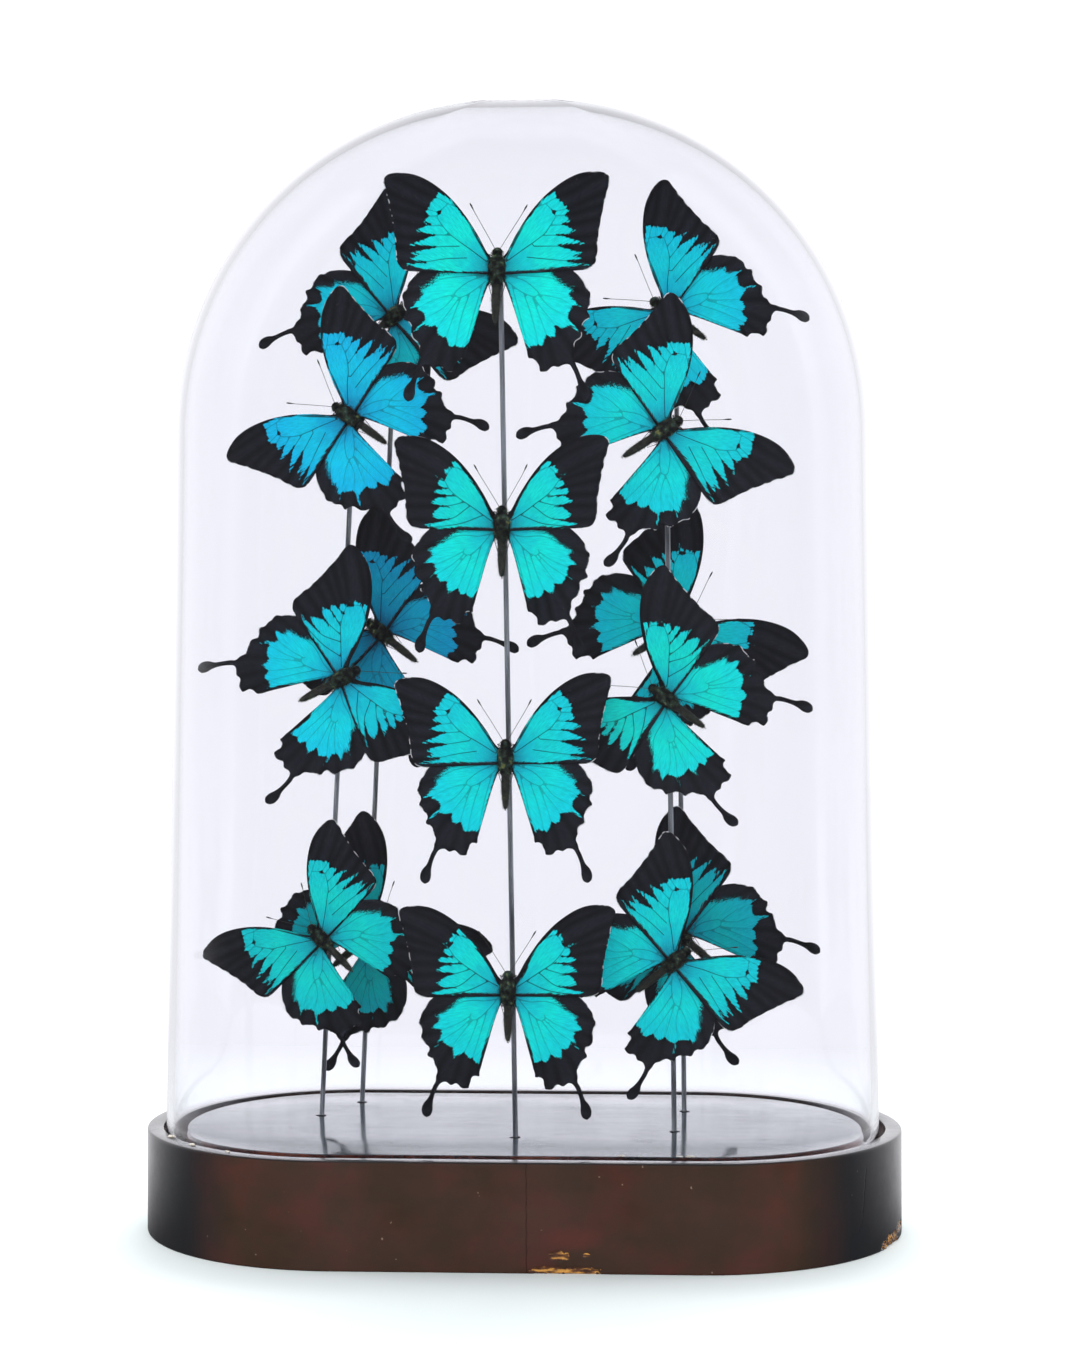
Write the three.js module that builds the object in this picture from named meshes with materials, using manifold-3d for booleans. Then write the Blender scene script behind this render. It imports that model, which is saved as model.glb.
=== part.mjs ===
// A mounted-insect display: sixteen tailed swallowtails on five steel rods, in an oblong glass dome.
// Millimetres, +Z up. The origin is the middle of the plinth's underside, and -Y is the front.
import * as THREE from 'three';
import Module from 'manifold-3d';
import { mergeVertices } from 'three/addons/utils/BufferGeometryUtils.js';

const wasm = await Module();
wasm.setup();

// Driving dimensions
const plinthLength = 325;
const plinthDepth = 178;
const plinthHeight = 44;
const rimWidth = 7;
const grooveWidth = 10;
const grooveDepth = 8;
const edgeBevel = 0.8;
const totalHeight = 486;
const glassWall = 3.2;
const glassInRim = 1.6;
const glassTaper = 4.4;
const capStart = 338;
const capFullness = 2.08;
const domeShift = -0.8;
const rodRadius = 1.1;
const meshGap = 0.3;
const wingThickness = 0.7;
const wingRise = THREE.MathUtils.degToRad(5);
const bodyToRod = 6.2;
const pinWidth = 0.9;
const pinSides = 4;

// The plan is two half circles joined by straight sides.
const straightHalf = (plinthLength - plinthDepth) / 2;
const plinthRadius = plinthDepth / 2;
const rimInnerRadius = plinthRadius - rimWidth;
const boardRadius = rimInnerRadius - grooveWidth;
const seatHeight = plinthHeight - grooveDepth;
const endSteps = 12;
const capRings = 6;

const colours = {
  plinth: { color: 0x3a2c28, roughness: 0.35, metalness: 0 },
  board: { color: 0x4a3c3a, roughness: 0.18, metalness: 0 },
  glass: { color: 0xeef4f4, roughness: 0.02, metalness: 0, transparent: true, opacity: 0.3 },
  rod: { color: 0x44464a, roughness: 0.35, metalness: 0.9 },
  turquoise: { color: 0x05cfcf, roughness: 0.45, metalness: 0.1 },
  blue: { color: 0x0aa5d5, roughness: 0.45, metalness: 0.1 },
};

// Rods, each from its foot in the board to its top behind the highest butterfly
const rods = {
  center: { foot: [-1.5, -35], top: [-8, -36, 412] },
  left_front: { foot: [-90, 12], top: [-75, 11, 356] },
  left_back: { foot: [-76, 46], top: [-59, 34, 404] },
  right_front: { foot: [65, -19], top: [61.5, -21, 350] },
  right_back: { foot: [70, 28.5], top: [66, 25, 404] },
};

// Butterflies on each rod from the top down: middle of the thorax, turn seen from the front in degrees,
// size, and how far the left and right fore and hind wings are raised from the usual setting
const butterflies = [
  { rod: 'center', x: -9, z: 406, turn: -2, size: 1.03, fore: [-1, 3], hind: [2, 6] },
  { rod: 'center', x: -7, z: 299.5, turn: 0, size: 0.98, fore: [1, 1], hind: [3, 1] },
  { rod: 'center', x: -5.5, z: 202.5, turn: 0, size: 0.96, fore: [-3, 0], hind: [3, 4] },
  { rod: 'center', x: -4.5, z: 106, turn: 0, size: 0.97, fore: [-1, 0], hind: [3, 2] },
  { rod: 'left_front', x: -77, z: 351, turn: 54, size: 0.97, fore: [-4, 1], hind: [-3, 0] },
  { rod: 'left_front', x: -79.5, z: 236.5, turn: -62, size: 1, fore: [-6, -8], hind: [1, 0] },
  { rod: 'left_front', x: -89, z: 122.5, turn: 44, size: 0.91, fore: [-2, 2], hind: [-3, 0] },
  { rod: 'left_back', x: -59, z: 398, turn: -51, size: 0.98, fore: [-2, 0], hind: [-4, -1] },
  { rod: 'left_back', x: -66, z: 257, turn: 51, size: 0.98, fore: [3, 2], hind: [4, 1] },
  { rod: 'left_back', x: -72, z: 120, turn: -50, size: 0.98, fore: [0, 7], hind: [0, 2] },
  { rod: 'right_front', x: 61, z: 341, turn: -57, size: 0.98, fore: [-3, 0], hind: [0, 3] },
  { rod: 'right_front', x: 61, z: 228, turn: 53, size: 0.96, fore: [-5, 0], hind: [-7, 2] },
  { rod: 'right_front', x: 65, z: 117, turn: -51, size: 0.95, fore: [-3, 0], hind: [-2, 2] },
  { rod: 'right_back', x: 62, z: 398, turn: 54, size: 0.99, fore: [0, -2], hind: [2, 2] },
  { rod: 'right_back', x: 66, z: 258.5, turn: -58, size: 1.03, fore: [-4, 9], hind: [-5, 9] },
  { rod: 'right_back', x: 67.5, z: 123.5, turn: 50, size: 0.98, fore: [0, 3], hind: [-5, 3] },
];
const bluerRods = ['left_back', 'right_back'];

// Right wings seen from the back of the insect, with the thorax at 0,0 and the head towards +Y
const foreWing = [
  [1.2, 3], [4.3, 7], [7.8, 13.5], [13.6, 22], [20, 29], [27, 34.2], [33.5, 37], [40, 37.6],
  [44.6, 36.6], [46.2, 34.6], [44.3, 28], [41.8, 16.6], [40.4, 2.6], [36.6, -1.7], [1.2, -2.2],
];
const hindWing = [
  [1.2, 0.5], [22, 1.5], [29.9, -2.1], [36.2, -10.3], [37.6, -15.1], [36, -19.4], [35.7, -23.7],
  [32.8, -25.6], [32.5, -30.5], [29.9, -32.9], [28.7, -36.2], [31.6, -47.3], [33.6, -51.5],
  [31.9, -55], [29.6, -52], [27.8, -41.5], [19.3, -40.6], [16.9, -42.9], [14.1, -42.5],
  [13.4, -38.6], [10.2, -37.2], [9.3, -28.5], [5.9, -17], [2.5, -6.9],
];
const foreRoot = [2, 1];
const hindRoot = [2, -1];
const foreWingDepth = 0.2;
const hindWingDepth = 1.2;
// Body profile from the tail end to the head: radius and height
const bodyProfile = [
  [0, -24], [1.9, -18], [1.7, -7], [3.2, -1], [2.6, 4.6], [1.5, 5.8], [2.1, 7.2], [0, 8.8],
];
const bodySides = 6;
const antennaPath = [[0.9, 6.6], [4.5, 16], [10.4, 27.5]];
const antennaWidth = 0.6;
const antennaSteps = 2;

function material(name) {
  return new THREE.MeshStandardMaterial(colours[name]);
}

// A closed geometry with merged corners, its faces pointing out
function closedGeometry(geometry) {
  geometry.deleteAttribute('normal');
  geometry.deleteAttribute('uv');
  const merged = mergeVertices(geometry, 1e-4);
  const position = merged.attributes.position;
  const corners = [new THREE.Vector3(), new THREE.Vector3(), new THREE.Vector3()];
  const kept = [];
  let volume = 0;
  for (let i = 0; i < merged.index.count; i += 3) {
    const ids = [0, 1, 2].map((k) => merged.index.getX(i + k));
    if (new Set(ids).size < 3) continue;
    kept.push(...ids);
    ids.forEach((id, k) => corners[k].fromBufferAttribute(position, id));
    volume += corners[0].dot(corners[1].clone().cross(corners[2]));
  }
  if (volume < 0) kept.reverse();
  merged.setIndex(kept);
  return merged;
}

function toSolid(geometry) {
  const closed = closedGeometry(geometry);
  const vertProperties = new Float32Array(closed.attributes.position.array);
  const triVerts = new Uint32Array(closed.index.array);
  return new wasm.Manifold(new wasm.Mesh({ numProp: 3, vertProperties, triVerts }));
}

function toGeometry(solid) {
  const mesh = solid.getMesh();
  const geometry = new THREE.BufferGeometry();
  geometry.setAttribute('position', new THREE.BufferAttribute(mesh.vertProperties, 3));
  geometry.setIndex(new THREE.BufferAttribute(mesh.triVerts, 1));
  geometry.computeVertexNormals();
  return geometry;
}

// An oblong body: a lathe whose columns are moved out onto the two half circles of the plan.
// Each profile point holds the end radius, the height and half the length of the straight side.
function oblong(profile) {
  const columns = 2 * (endSteps + 1);
  const lathe = new THREE.LatheGeometry(profile.map((p) => new THREE.Vector2(p.radius, p.z)), columns);
  const position = lathe.attributes.position;
  for (let i = 0; i < position.count; i += 1) {
    const column = Math.floor(i / profile.length) % columns;
    const point = profile[i % profile.length];
    const end = column <= endSteps ? 1 : -1;
    const step = column % (endSteps + 1);
    const angle = Math.PI * (step / endSteps - 0.5);
    const x = end * (point.straight + point.radius * Math.cos(angle));
    position.setXYZ(i, x, end * point.radius * Math.sin(angle), point.z);
  }
  return closedGeometry(lathe);
}

function level(radius, z, straight = straightHalf) {
  return { radius, z, straight };
}

function plinthGeometry() {
  const wall = [
    level(0, 0),
    level(plinthRadius - edgeBevel, 0),
    level(plinthRadius, edgeBevel),
    level(plinthRadius, plinthHeight - edgeBevel),
    level(plinthRadius - edgeBevel, plinthHeight),
    level(rimInnerRadius, plinthHeight),
    level(rimInnerRadius, seatHeight),
    level(0, seatHeight),
  ];
  return oblong(wall);
}

function boardGeometry() {
  const bottom = seatHeight + meshGap;
  const slab = toSolid(oblong([
    level(0, bottom),
    level(boardRadius, bottom),
    level(boardRadius, plinthHeight - edgeBevel / 2),
    level(boardRadius - edgeBevel / 2, plinthHeight),
    level(0, plinthHeight),
  ]));
  const holes = Object.values(rods).map(({ foot }) => {
    const hole = new THREE.CylinderGeometry(rodRadius + 2 * meshGap, rodRadius + 2 * meshGap, 30, 8);
    hole.rotateX(Math.PI / 2);
    hole.translate(foot[0], foot[1], plinthHeight);
    return toSolid(hole);
  });
  return toGeometry(holes.reduce((solid, hole) => solid.subtract(hole), slab));
}

// Outer or inner face of the glass from the bottom up, set in from the outside by the given amount
function glassFace(inset) {
  const bottom = rimInnerRadius - glassInRim - inset;
  const top = bottom - glassTaper;
  const apex = totalHeight - inset;
  const face = [level(bottom, seatHeight + meshGap)];
  for (let i = 0; i <= capRings; i += 1) {
    const lift = Math.sin((i / capRings) * (Math.PI / 2));
    const share = (1 - lift ** capFullness) ** (1 / capFullness);
    face.push(level(top * share, capStart + (apex - capStart) * lift, straightHalf * share));
  }
  return face;
}

function glassGeometry() {
  return oblong([...glassFace(0), ...glassFace(glassWall).reverse(), glassFace(0)[0]]);
}

function rodAxis(name) {
  const { foot, top } = rods[name];
  return new THREE.Line3(
    new THREE.Vector3(foot[0], foot[1], seatHeight + meshGap),
    new THREE.Vector3(...top),
  );
}

function rodPointAt(name, z) {
  const axis = rodAxis(name);
  return axis.at((z - axis.start.z) / (axis.end.z - axis.start.z), new THREE.Vector3());
}

function rodGeometry(name) {
  const axis = rodAxis(name);
  const rod = new THREE.CylinderGeometry(rodRadius, rodRadius, axis.distance(), 8);
  const direction = axis.delta(new THREE.Vector3()).normalize();
  rod.applyQuaternion(new THREE.Quaternion().setFromUnitVectors(new THREE.Vector3(0, 1, 0), direction));
  const middle = axis.getCenter(new THREE.Vector3());
  rod.translate(middle.x, middle.y, middle.z);
  return closedGeometry(rod);
}

// One flat wing in the X-Z plane, turned about its root by the given degrees, its tip nearer the front
function wingGeometry(outline, root, side, depth, raised) {
  const centre = new THREE.Vector2(...root);
  const angle = THREE.MathUtils.degToRad(raised);
  const shape = new THREE.Shape(
    outline.map(([x, y]) => new THREE.Vector2(x, y).rotateAround(centre, angle)),
  );
  const wing = new THREE.ExtrudeGeometry(shape, { depth: wingThickness, bevelEnabled: false });
  wing.rotateX(Math.PI / 2);
  wing.translate(0, depth, 0);
  wing.rotateZ(-wingRise);
  if (side < 0) wing.scale(-1, 1, 1);
  return wing;
}

function antennaGeometry(side) {
  const path = new THREE.CatmullRomCurve3(antennaPath.map(([x, z]) => new THREE.Vector3(side * x, 0, z)));
  const section = new THREE.Shape([0, 1, 2].map((k) => {
    const angle = (k * 2 * Math.PI) / 3;
    return new THREE.Vector2(Math.cos(angle), Math.sin(angle)).multiplyScalar(antennaWidth / 2);
  }));
  return new THREE.ExtrudeGeometry(section, { steps: antennaSteps, extrudePath: path });
}

function bodyGeometry() {
  const profile = bodyProfile.map(([radius, z]) => new THREE.Vector2(radius, z));
  const body = new THREE.LatheGeometry(profile, bodySides);
  body.rotateX(Math.PI / 2);
  return body;
}

// The steel pin from the middle of the thorax to the rod
function pinGeometry(end) {
  const pin = new THREE.CylinderGeometry(pinWidth / 2, pinWidth / 2, end.length(), pinSides);
  const direction = end.clone().normalize();
  pin.translate(0, end.length() / 2, 0);
  pin.applyQuaternion(new THREE.Quaternion().setFromUnitVectors(new THREE.Vector3(0, 1, 0), direction));
  return pin;
}

// A butterfly with its head up and its back to the front
function insectGeometries(fore, hind) {
  return [
    bodyGeometry(),
    ...[-1, 1].flatMap((side, i) => [
      wingGeometry(foreWing, foreRoot, side, foreWingDepth, fore[i]),
      wingGeometry(hindWing, hindRoot, side, hindWingDepth, hind[i]),
      antennaGeometry(side),
    ]),
  ];
}

function butterflyGeometry({ rod, x, z, turn, size, fore, hind }) {
  const rodPoint = rodPointAt(rod, z);
  const thorax = new THREE.Vector3(x, rodPoint.y - bodyToRod, z);
  const pinEnd = rodPoint.clone().sub(thorax);
  pinEnd.setLength(pinEnd.length() - rodRadius - meshGap);
  const pieces = insectGeometries(fore, hind).map((piece) => {
    piece.scale(size, size, size);
    piece.rotateY(THREE.MathUtils.degToRad(-turn));
    return piece;
  });
  pieces.push(pinGeometry(pinEnd));
  const pinned = toGeometry(pieces.map(toSolid).reduce((all, piece) => all.add(piece)));
  pinned.translate(thorax.x, thorax.y, thorax.z);
  return pinned;
}

function part(name, geometry, colour) {
  const mesh = new THREE.Mesh(geometry, material(colour));
  mesh.name = name;
  return mesh;
}

const display = new THREE.Group();
display.add(part('base', plinthGeometry(), 'plinth'));
display.add(part('board', boardGeometry(), 'board'));
const glass = part('glass_dome', glassGeometry(), 'glass');
glass.position.x = domeShift;
display.add(glass);
for (const name of Object.keys(rods)) {
  display.add(part(`rod_${name}`, rodGeometry(name), 'rod'));
  const colour = bluerRods.includes(name) ? 'blue' : 'turquoise';
  butterflies
    .filter((butterfly) => butterfly.rod === name)
    .forEach((butterfly, i) => {
      display.add(part(`butterfly_${name}_${i + 1}`, butterflyGeometry(butterfly), colour));
    });
}

export default display;
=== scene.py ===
import bmesh
import bpy
import math
import numpy as np
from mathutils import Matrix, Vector
from mathutils.geometry import delaunay_2d_cdt


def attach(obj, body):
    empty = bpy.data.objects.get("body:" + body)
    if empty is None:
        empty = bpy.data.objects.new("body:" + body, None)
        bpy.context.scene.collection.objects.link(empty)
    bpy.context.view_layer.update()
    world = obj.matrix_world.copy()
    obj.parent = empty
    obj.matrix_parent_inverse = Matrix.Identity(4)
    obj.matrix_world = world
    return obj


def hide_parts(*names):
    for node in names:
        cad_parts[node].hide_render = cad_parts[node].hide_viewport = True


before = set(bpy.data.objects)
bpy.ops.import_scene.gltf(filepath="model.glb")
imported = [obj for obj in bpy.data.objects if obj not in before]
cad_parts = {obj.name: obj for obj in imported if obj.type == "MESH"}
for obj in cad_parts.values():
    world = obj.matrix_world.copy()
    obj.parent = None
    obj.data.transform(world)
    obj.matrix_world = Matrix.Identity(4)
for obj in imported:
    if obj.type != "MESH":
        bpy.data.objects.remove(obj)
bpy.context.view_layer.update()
mm = 0.001

# camera, floor and light
studio = {
    "cameraPlace": (0.0524, -1.0387, 0.2349),   # metres, about one metre in front of the dome
    "cameraTurn": 2.5,           # degrees to the left
    "lens": 63.34,               # mm on a 36 mm sensor, along the longer side of the picture
    "floorSize": 9.0,            # metres
    "floorColour": "#E0E7E5",
    "sweep": (0.15, 0.5),        # metres behind the object, where the paper fades into the glowing backdrop
    "skyColour": "#FBFBFF",      # a faintly violet white, as daylight paper backdrops photograph
    "skySeen": 1.12,             # the backdrop itself, a little over white
    "skyLight": 0.85,            # what the white surroundings give to matt surfaces from above,
    "skyLightBack": 2.15,        # from the white wall behind the object
    "skyLightFront": 4.1,        # and from the window behind the camera
    "skyGlossBack": 0.45,        # the brighter middle of the backdrop, mirrored at a shallow angle
    "skyGlossSide": 0.8,         # the mirrored side walls
    "skyGlossFront": 0.08,       # darker room behind the camera, so the glass stays clear
    "ceilingDim": 0.55,          # the mirrored ceiling against the mirrored walls
    "lampAim": (0, 0, 0.24),
    "lightBounces": 18,          # light runs a long way inside the wall of the dome
}
softBoxes = {
    # place in metres, width, height, watts
    "left_box": ((-1.7, 0.25, 0.9), 0.6, 1.0, 9.0),
    "right_box": ((1.7, 0.3, 0.8), 0.6, 1.0, 9.0),
    "back_box": ((0.1, 1.2, 1.6), 1.4, 0.8, 16.0),
}


def hexColour(code):
    channels = [int(code[i:i + 2], 16) / 255 for i in (1, 3, 5)]
    return tuple(c / 12.92 if c <= 0.04045 else ((c + 0.055) / 1.055) ** 2.4 for c in channels) + (1.0,)


def setInputs(node, values):
    # each value is a number, a hex colour, or the node or socket that feeds the input
    for key, value in values.items():
        if isinstance(value, bpy.types.Node):
            value = next(socket for socket in value.outputs if socket.enabled)
        if isinstance(value, bpy.types.NodeSocket):
            node.id_data.links.new(value, node.inputs[key])
        else:
            node.inputs[key].default_value = hexColour(value) if isinstance(value, str) else value


def addNode(tree, kind, settings=None):
    # settings: inputs by name or number, node options, or "stops" for a colour ramp
    node = tree.nodes.new("ShaderNode" + kind)
    for key, value in (settings or {}).items():
        if key == "stops":
            ramp = node.color_ramp.elements
            while len(ramp) < len(value):
                ramp.new(0.5)
            for stop, (place, code) in zip(ramp, value):
                stop.position = place
                stop.color = hexColour(code)
        elif isinstance(key, int) or key in node.inputs:
            setInputs(node, {key: value})
        else:
            setattr(node, key, value)
    return node


def newMaterial(name):
    material = bpy.data.materials.new(name)
    material.use_nodes = True
    tree = material.node_tree
    return material, tree, tree.nodes["Principled BSDF"]


def makeMesh(name, points, faces, materials, faceMaterials=None, fields=None, smooth=True, sharpAngle=None):
    # points in mm; fields are values per point that the materials read
    mesh = bpy.data.meshes.new(name)
    mesh.from_pydata((np.asarray(points, float) * mm).tolist(), [], [tuple(map(int, f)) for f in faces])
    for material in materials:
        mesh.materials.append(material)
    if faceMaterials is not None:
        mesh.polygons.foreach_set("material_index", np.asarray(faceMaterials, np.int32))
    mesh.polygons.foreach_set("use_smooth", np.full(len(mesh.polygons), smooth))
    for key, values in (fields or {}).items():
        values = np.asarray(values, np.float32)
        if values.ndim == 2:
            mesh.attributes.new(key, "FLOAT_VECTOR", "POINT").data.foreach_set("vector", values.ravel())
        else:
            mesh.attributes.new(key, "FLOAT", "POINT").data.foreach_set("value", values)
    if sharpAngle:
        mesh.set_sharp_from_angle(angle=math.radians(sharpAngle))
    mesh.update()
    piece = bpy.data.objects.new(name, mesh)
    bpy.context.scene.collection.objects.link(piece)
    return piece


def enlist(piece, slot, *nodes):
    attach(piece, "root")
    if nodes:
        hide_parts(*nodes)


def mirroredRoom(tree, direction):
    # mirrored once, the room is dark behind the camera and brightest behind the object
    parts = addNode(tree, "SeparateXYZ", {0: direction})
    frontToSide = addNode(tree, "MapRange", {
        "interpolation_type": "SMOOTHSTEP", "Value": parts.outputs["Y"], "From Min": -0.3, "From Max": 0.7,
        "To Min": studio["skyGlossFront"], "To Max": studio["skyGlossSide"]})
    shallow = addNode(tree, "MapRange", {
        "Value": parts.outputs["Y"], "From Min": 0.8, "To Max": studio["skyGlossBack"]})
    level = addNode(tree, "Math", {"operation": "ADD", 0: frontToSide, 1: shallow})
    ceiling = addNode(tree, "MapRange", {
        "Value": parts.outputs["Z"], "From Min": 0.4, "From Max": 0.9, "To Min": 1.0,
        "To Max": studio["ceilingDim"]})
    strength = addNode(tree, "Math", {"operation": "MULTIPLY", 0: level, 1: ceiling})
    depth = addNode(tree, "LightPath").outputs["Glossy Depth"]
    isMirror = addNode(tree, "Math", {"operation": "COMPARE", 0: depth, 1: 1.0, 2: 0.2})
    return isMirror, strength


def placeCamera():
    camera = bpy.data.objects.new("camera", bpy.data.cameras.new("camera"))
    camera.data.lens = studio["lens"]
    camera.data.sensor_width = 36
    camera.location = studio["cameraPlace"]
    camera.rotation_euler = (math.radians(90), 0, math.radians(studio["cameraTurn"]))
    bpy.context.scene.collection.objects.link(camera)
    bpy.context.scene.camera = camera
    bpy.context.scene.view_settings.view_transform = "Standard"
    cycles = bpy.context.scene.cycles
    cycles.max_bounces = cycles.glossy_bounces = cycles.transmission_bounces = studio["lightBounces"]


def makeFloor():
    # matt white paper, rolled smooth: no gloss, and a faint tooth
    paper, tree, shader = newMaterial("studio_paper")
    grain = addNode(tree, "TexNoise", {"Scale": 900, "Detail": 2})
    bump = addNode(tree, "Bump", {"Strength": 0.03, "Height": grain})
    setInputs(shader, {"Base Color": studio["floorColour"], "Roughness": 0.9, "Specular IOR Level": 0.1,
                       "Normal": bump})
    # behind the object the paper fades into a glowing backdrop, so no horizon shows
    place = addNode(tree, "NewGeometry").outputs["Position"]
    parts = addNode(tree, "SeparateXYZ", {0: place})
    sweep = addNode(tree, "MapRange", {
        "Value": parts.outputs["Y"], "From Min": studio["sweep"][0], "From Max": studio["sweep"][1]})
    backdrop = addNode(tree, "Emission", {"Color": studio["skyColour"], "Strength": studio["skySeen"]})
    swept = addNode(tree, "MixShader", {0: sweep, 1: shader, 2: backdrop})
    # in reflections the floor glows with the brightness of the mirrored room instead of showing its own
    # shading: a painted reflection, so the glass shows no horizon either
    outward = addNode(tree, "VectorMath", {"operation": "NORMALIZE", 0: place})
    isMirror, level = mirroredRoom(tree, outward)
    reflectionGlow = addNode(tree, "Emission", {"Color": studio["skyColour"], "Strength": level})
    mixed = addNode(tree, "MixShader", {0: isMirror, 1: swept, 2: reflectionGlow})
    setInputs(tree.nodes["Material Output"], {"Surface": mixed})
    half = studio["floorSize"] / 2 / mm
    corners = [(-half, -half, 0), (half, -half, 0), (half, half, 0), (-half, half, 0)]
    makeMesh("floor", corners, [(0, 1, 2, 3)], [paper])


def makeRoom():
    # a white room: seen, mirrored and as light on matt surfaces it has its own brightness
    room = bpy.data.worlds.new("white_room")
    bpy.context.scene.world = room
    room.use_nodes = True
    tree = room.node_tree
    towards = addNode(tree, "TexCoord").outputs["Generated"]
    isMirror, level = mirroredRoom(tree, towards)
    parts = addNode(tree, "SeparateXYZ", {0: towards})
    depth = addNode(tree, "LightPath").outputs["Diffuse Depth"]
    isMatt = addNode(tree, "Math", {"operation": "GREATER_THAN", 0: depth, 1: 0.5})
    window = addNode(tree, "MapRange", {
        "Value": parts.outputs["Y"], "From Min": -1.0, "From Max": -0.5,
        "To Min": studio["skyLightFront"], "To Max": studio["skyLight"]})
    wall = addNode(tree, "MapRange", {
        "Value": parts.outputs["Y"], "From Min": 0.0, "From Max": 0.5,
        "To Min": studio["skyLight"], "To Max": studio["skyLightBack"]})
    light = addNode(tree, "Math", {"operation": "MAXIMUM", 0: window, 1: wall})
    matt = addNode(tree, "Mix", {0: isMatt, 2: studio["skySeen"], 3: light})
    strength = addNode(tree, "Mix", {0: isMirror, 2: matt, 3: level})
    setInputs(tree.nodes["Background"], {"Color": studio["skyColour"], "Strength": strength})


def hangLamps():
    for name, (place, width, height, watts) in softBoxes.items():
        lamp = bpy.data.lights.new(name, "AREA")
        lamp.shape = "RECTANGLE"
        lamp.size, lamp.size_y, lamp.energy = width, height, watts
        box = bpy.data.objects.new(name, lamp)
        box.location = place
        box.rotation_euler = (Vector(studio["lampAim"]) - Vector(place)).to_track_quat("-Z", "Y").to_euler()
        # soft light, without glints
        box.visible_camera = box.visible_glossy = box.visible_transmission = False
        bpy.context.scene.collection.objects.link(box)


placeCamera()
makeFloor()
makeRoom()
hangLamps()
print("camera, floor and lights are set")

# the oblong outline that base, board and glass share: two half circles joined by straight sides
plan = {"straightHalf": 73.5, "sideSteps": 74, "endSteps": 84}


def oblong(radius, straight=plan["straightHalf"]):
    along = np.linspace(-straight, straight, plan["sideSteps"], endpoint=False)
    turn = np.linspace(-math.pi / 2, math.pi / 2, plan["endSteps"], endpoint=False)
    front = np.c_[along, np.full(len(along), -radius)]
    right = np.c_[straight + radius * np.cos(turn), radius * np.sin(turn)]
    return np.vstack([front, right, -front, -right])


def awayFromMiddle(x, y):
    # distance from the straight line between the centres of the two half circles
    return np.hypot(x - np.clip(x, -plan["straightHalf"], plan["straightHalf"]), y)


def ringStack(rings, closedLoop):
    # rings of equal length, joined into a closed skin
    count = len(rings[0])
    points = np.vstack(rings)
    faces = []
    rounds = len(rings) if closedLoop else len(rings) - 1
    for i in range(rounds):
        a, b = i * count, (i + 1) % len(rings) * count
        faces += [(a + j, a + (j + 1) % count, b + (j + 1) % count, b + j) for j in range(count)]
    return points, faces


def weld(piece, distance=1e-6):
    work = bmesh.new()
    work.from_mesh(piece.data)
    bmesh.ops.remove_doubles(work, verts=work.verts, dist=distance)
    bmesh.ops.dissolve_degenerate(work, edges=work.edges, dist=distance)
    bmesh.ops.recalc_face_normals(work, faces=work.faces)
    work.to_mesh(piece.data)
    work.free()


# the glass dome: one blown shade, open below, standing in the groove
dome = {
    "shift": -0.8, "foot": 36.3, "wallTop": 338, "apex": 486, "radiusFoot": 80.4, "radiusTop": 76,
    "wall": 3.2, "fullness": 2.08, "wallRows": 26, "capRows": 44, "wave": 0.06,
    "lip": 0.9, "tint": "#E6F3EE", "tintStrength": 4.0,
}


def domeRings(inset):
    # rings of points from the foot to the top, along the outside of the wall or inset from it
    straight, power = plan["straightHalf"], 2 / dome["fullness"]
    levels = []
    for share in np.linspace(0, 1, dome["wallRows"]):
        radius = dome["radiusFoot"] + (dome["radiusTop"] - dome["radiusFoot"]) * share - inset
        levels.append((radius, straight, dome["foot"] + (dome["wallTop"] - dome["foot"]) * share))
    rise = dome["apex"] - inset - dome["wallTop"]
    for angle in np.linspace(0, math.pi / 2, dome["capRows"] + 1)[1:]:
        share = math.cos(angle) ** power if angle < math.pi / 2 - 1e-9 else 0
        levels.append(((dome["radiusTop"] - inset) * share, straight * share,
                       dome["wallTop"] + rise * math.sin(angle) ** power))
    rings = []
    for radius, half, z in levels:
        x, y = oblong(radius, half).T
        # hand-blown glass is never quite true: slow waves of about a tenth of a millimetre
        size = dome["wave"] * min(1.0, radius / 40)
        wave = size * (np.sin(x / 23 + z / 41) + np.sin(z / 29 - y / 17))
        scale = 1 - (size * 2 - wave) / max(radius, 1)
        rings.append(np.c_[x * scale + dome["shift"], y * scale, np.full(len(x), z)])
    return rings


def blownGlass():
    # lead-free soda glass, blown in a mould: clear, faintly green where it is seen edge-on, a little dusty
    glass, tree, shader = newMaterial("blown_soda_glass")
    dust = addNode(tree, "TexNoise", {"Scale": 60, "Detail": 3})
    haze = addNode(tree, "MapRange", {"From Min": 0.5, "From Max": 0.9, "To Max": 0.03, "Value": dust})
    setInputs(shader, {"Base Color": "#FBFBFE", "Roughness": haze, "IOR": 1.5, "Transmission Weight": 1.0})
    body = addNode(tree, "VolumeAbsorption", {"Color": dome["tint"], "Density": dome["tintStrength"]})
    setInputs(tree.nodes["Material Output"], {"Volume": body})
    return glass


def makeDome():
    outer, inner = domeRings(0), domeRings(dome["wall"])
    # the melted lower edge is round
    lip = []
    for angle in np.linspace(math.pi, 0, 7)[1:-1]:
        share = (1 - math.cos(angle)) / 2
        ring = outer[0] * (1 - share) + inner[0] * share
        ring[:, 2] = dome["foot"] + dome["lip"] * (1 - math.sin(angle))
        lip.append(ring)
    for ring in (outer[0], inner[0]):
        ring[:, 2] += dome["lip"]
    points, faces = ringStack(inner[::-1] + lip + outer, False)
    shade = makeMesh("glass_dome_blown", points, faces, [blownGlass()])
    weld(shade)
    shade.visible_shadow = False      # the soft boxes light what stands inside
    enlist(shade, "dome_glass", "glass_dome")


makeDome()
print("the glass dome is made")

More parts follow.
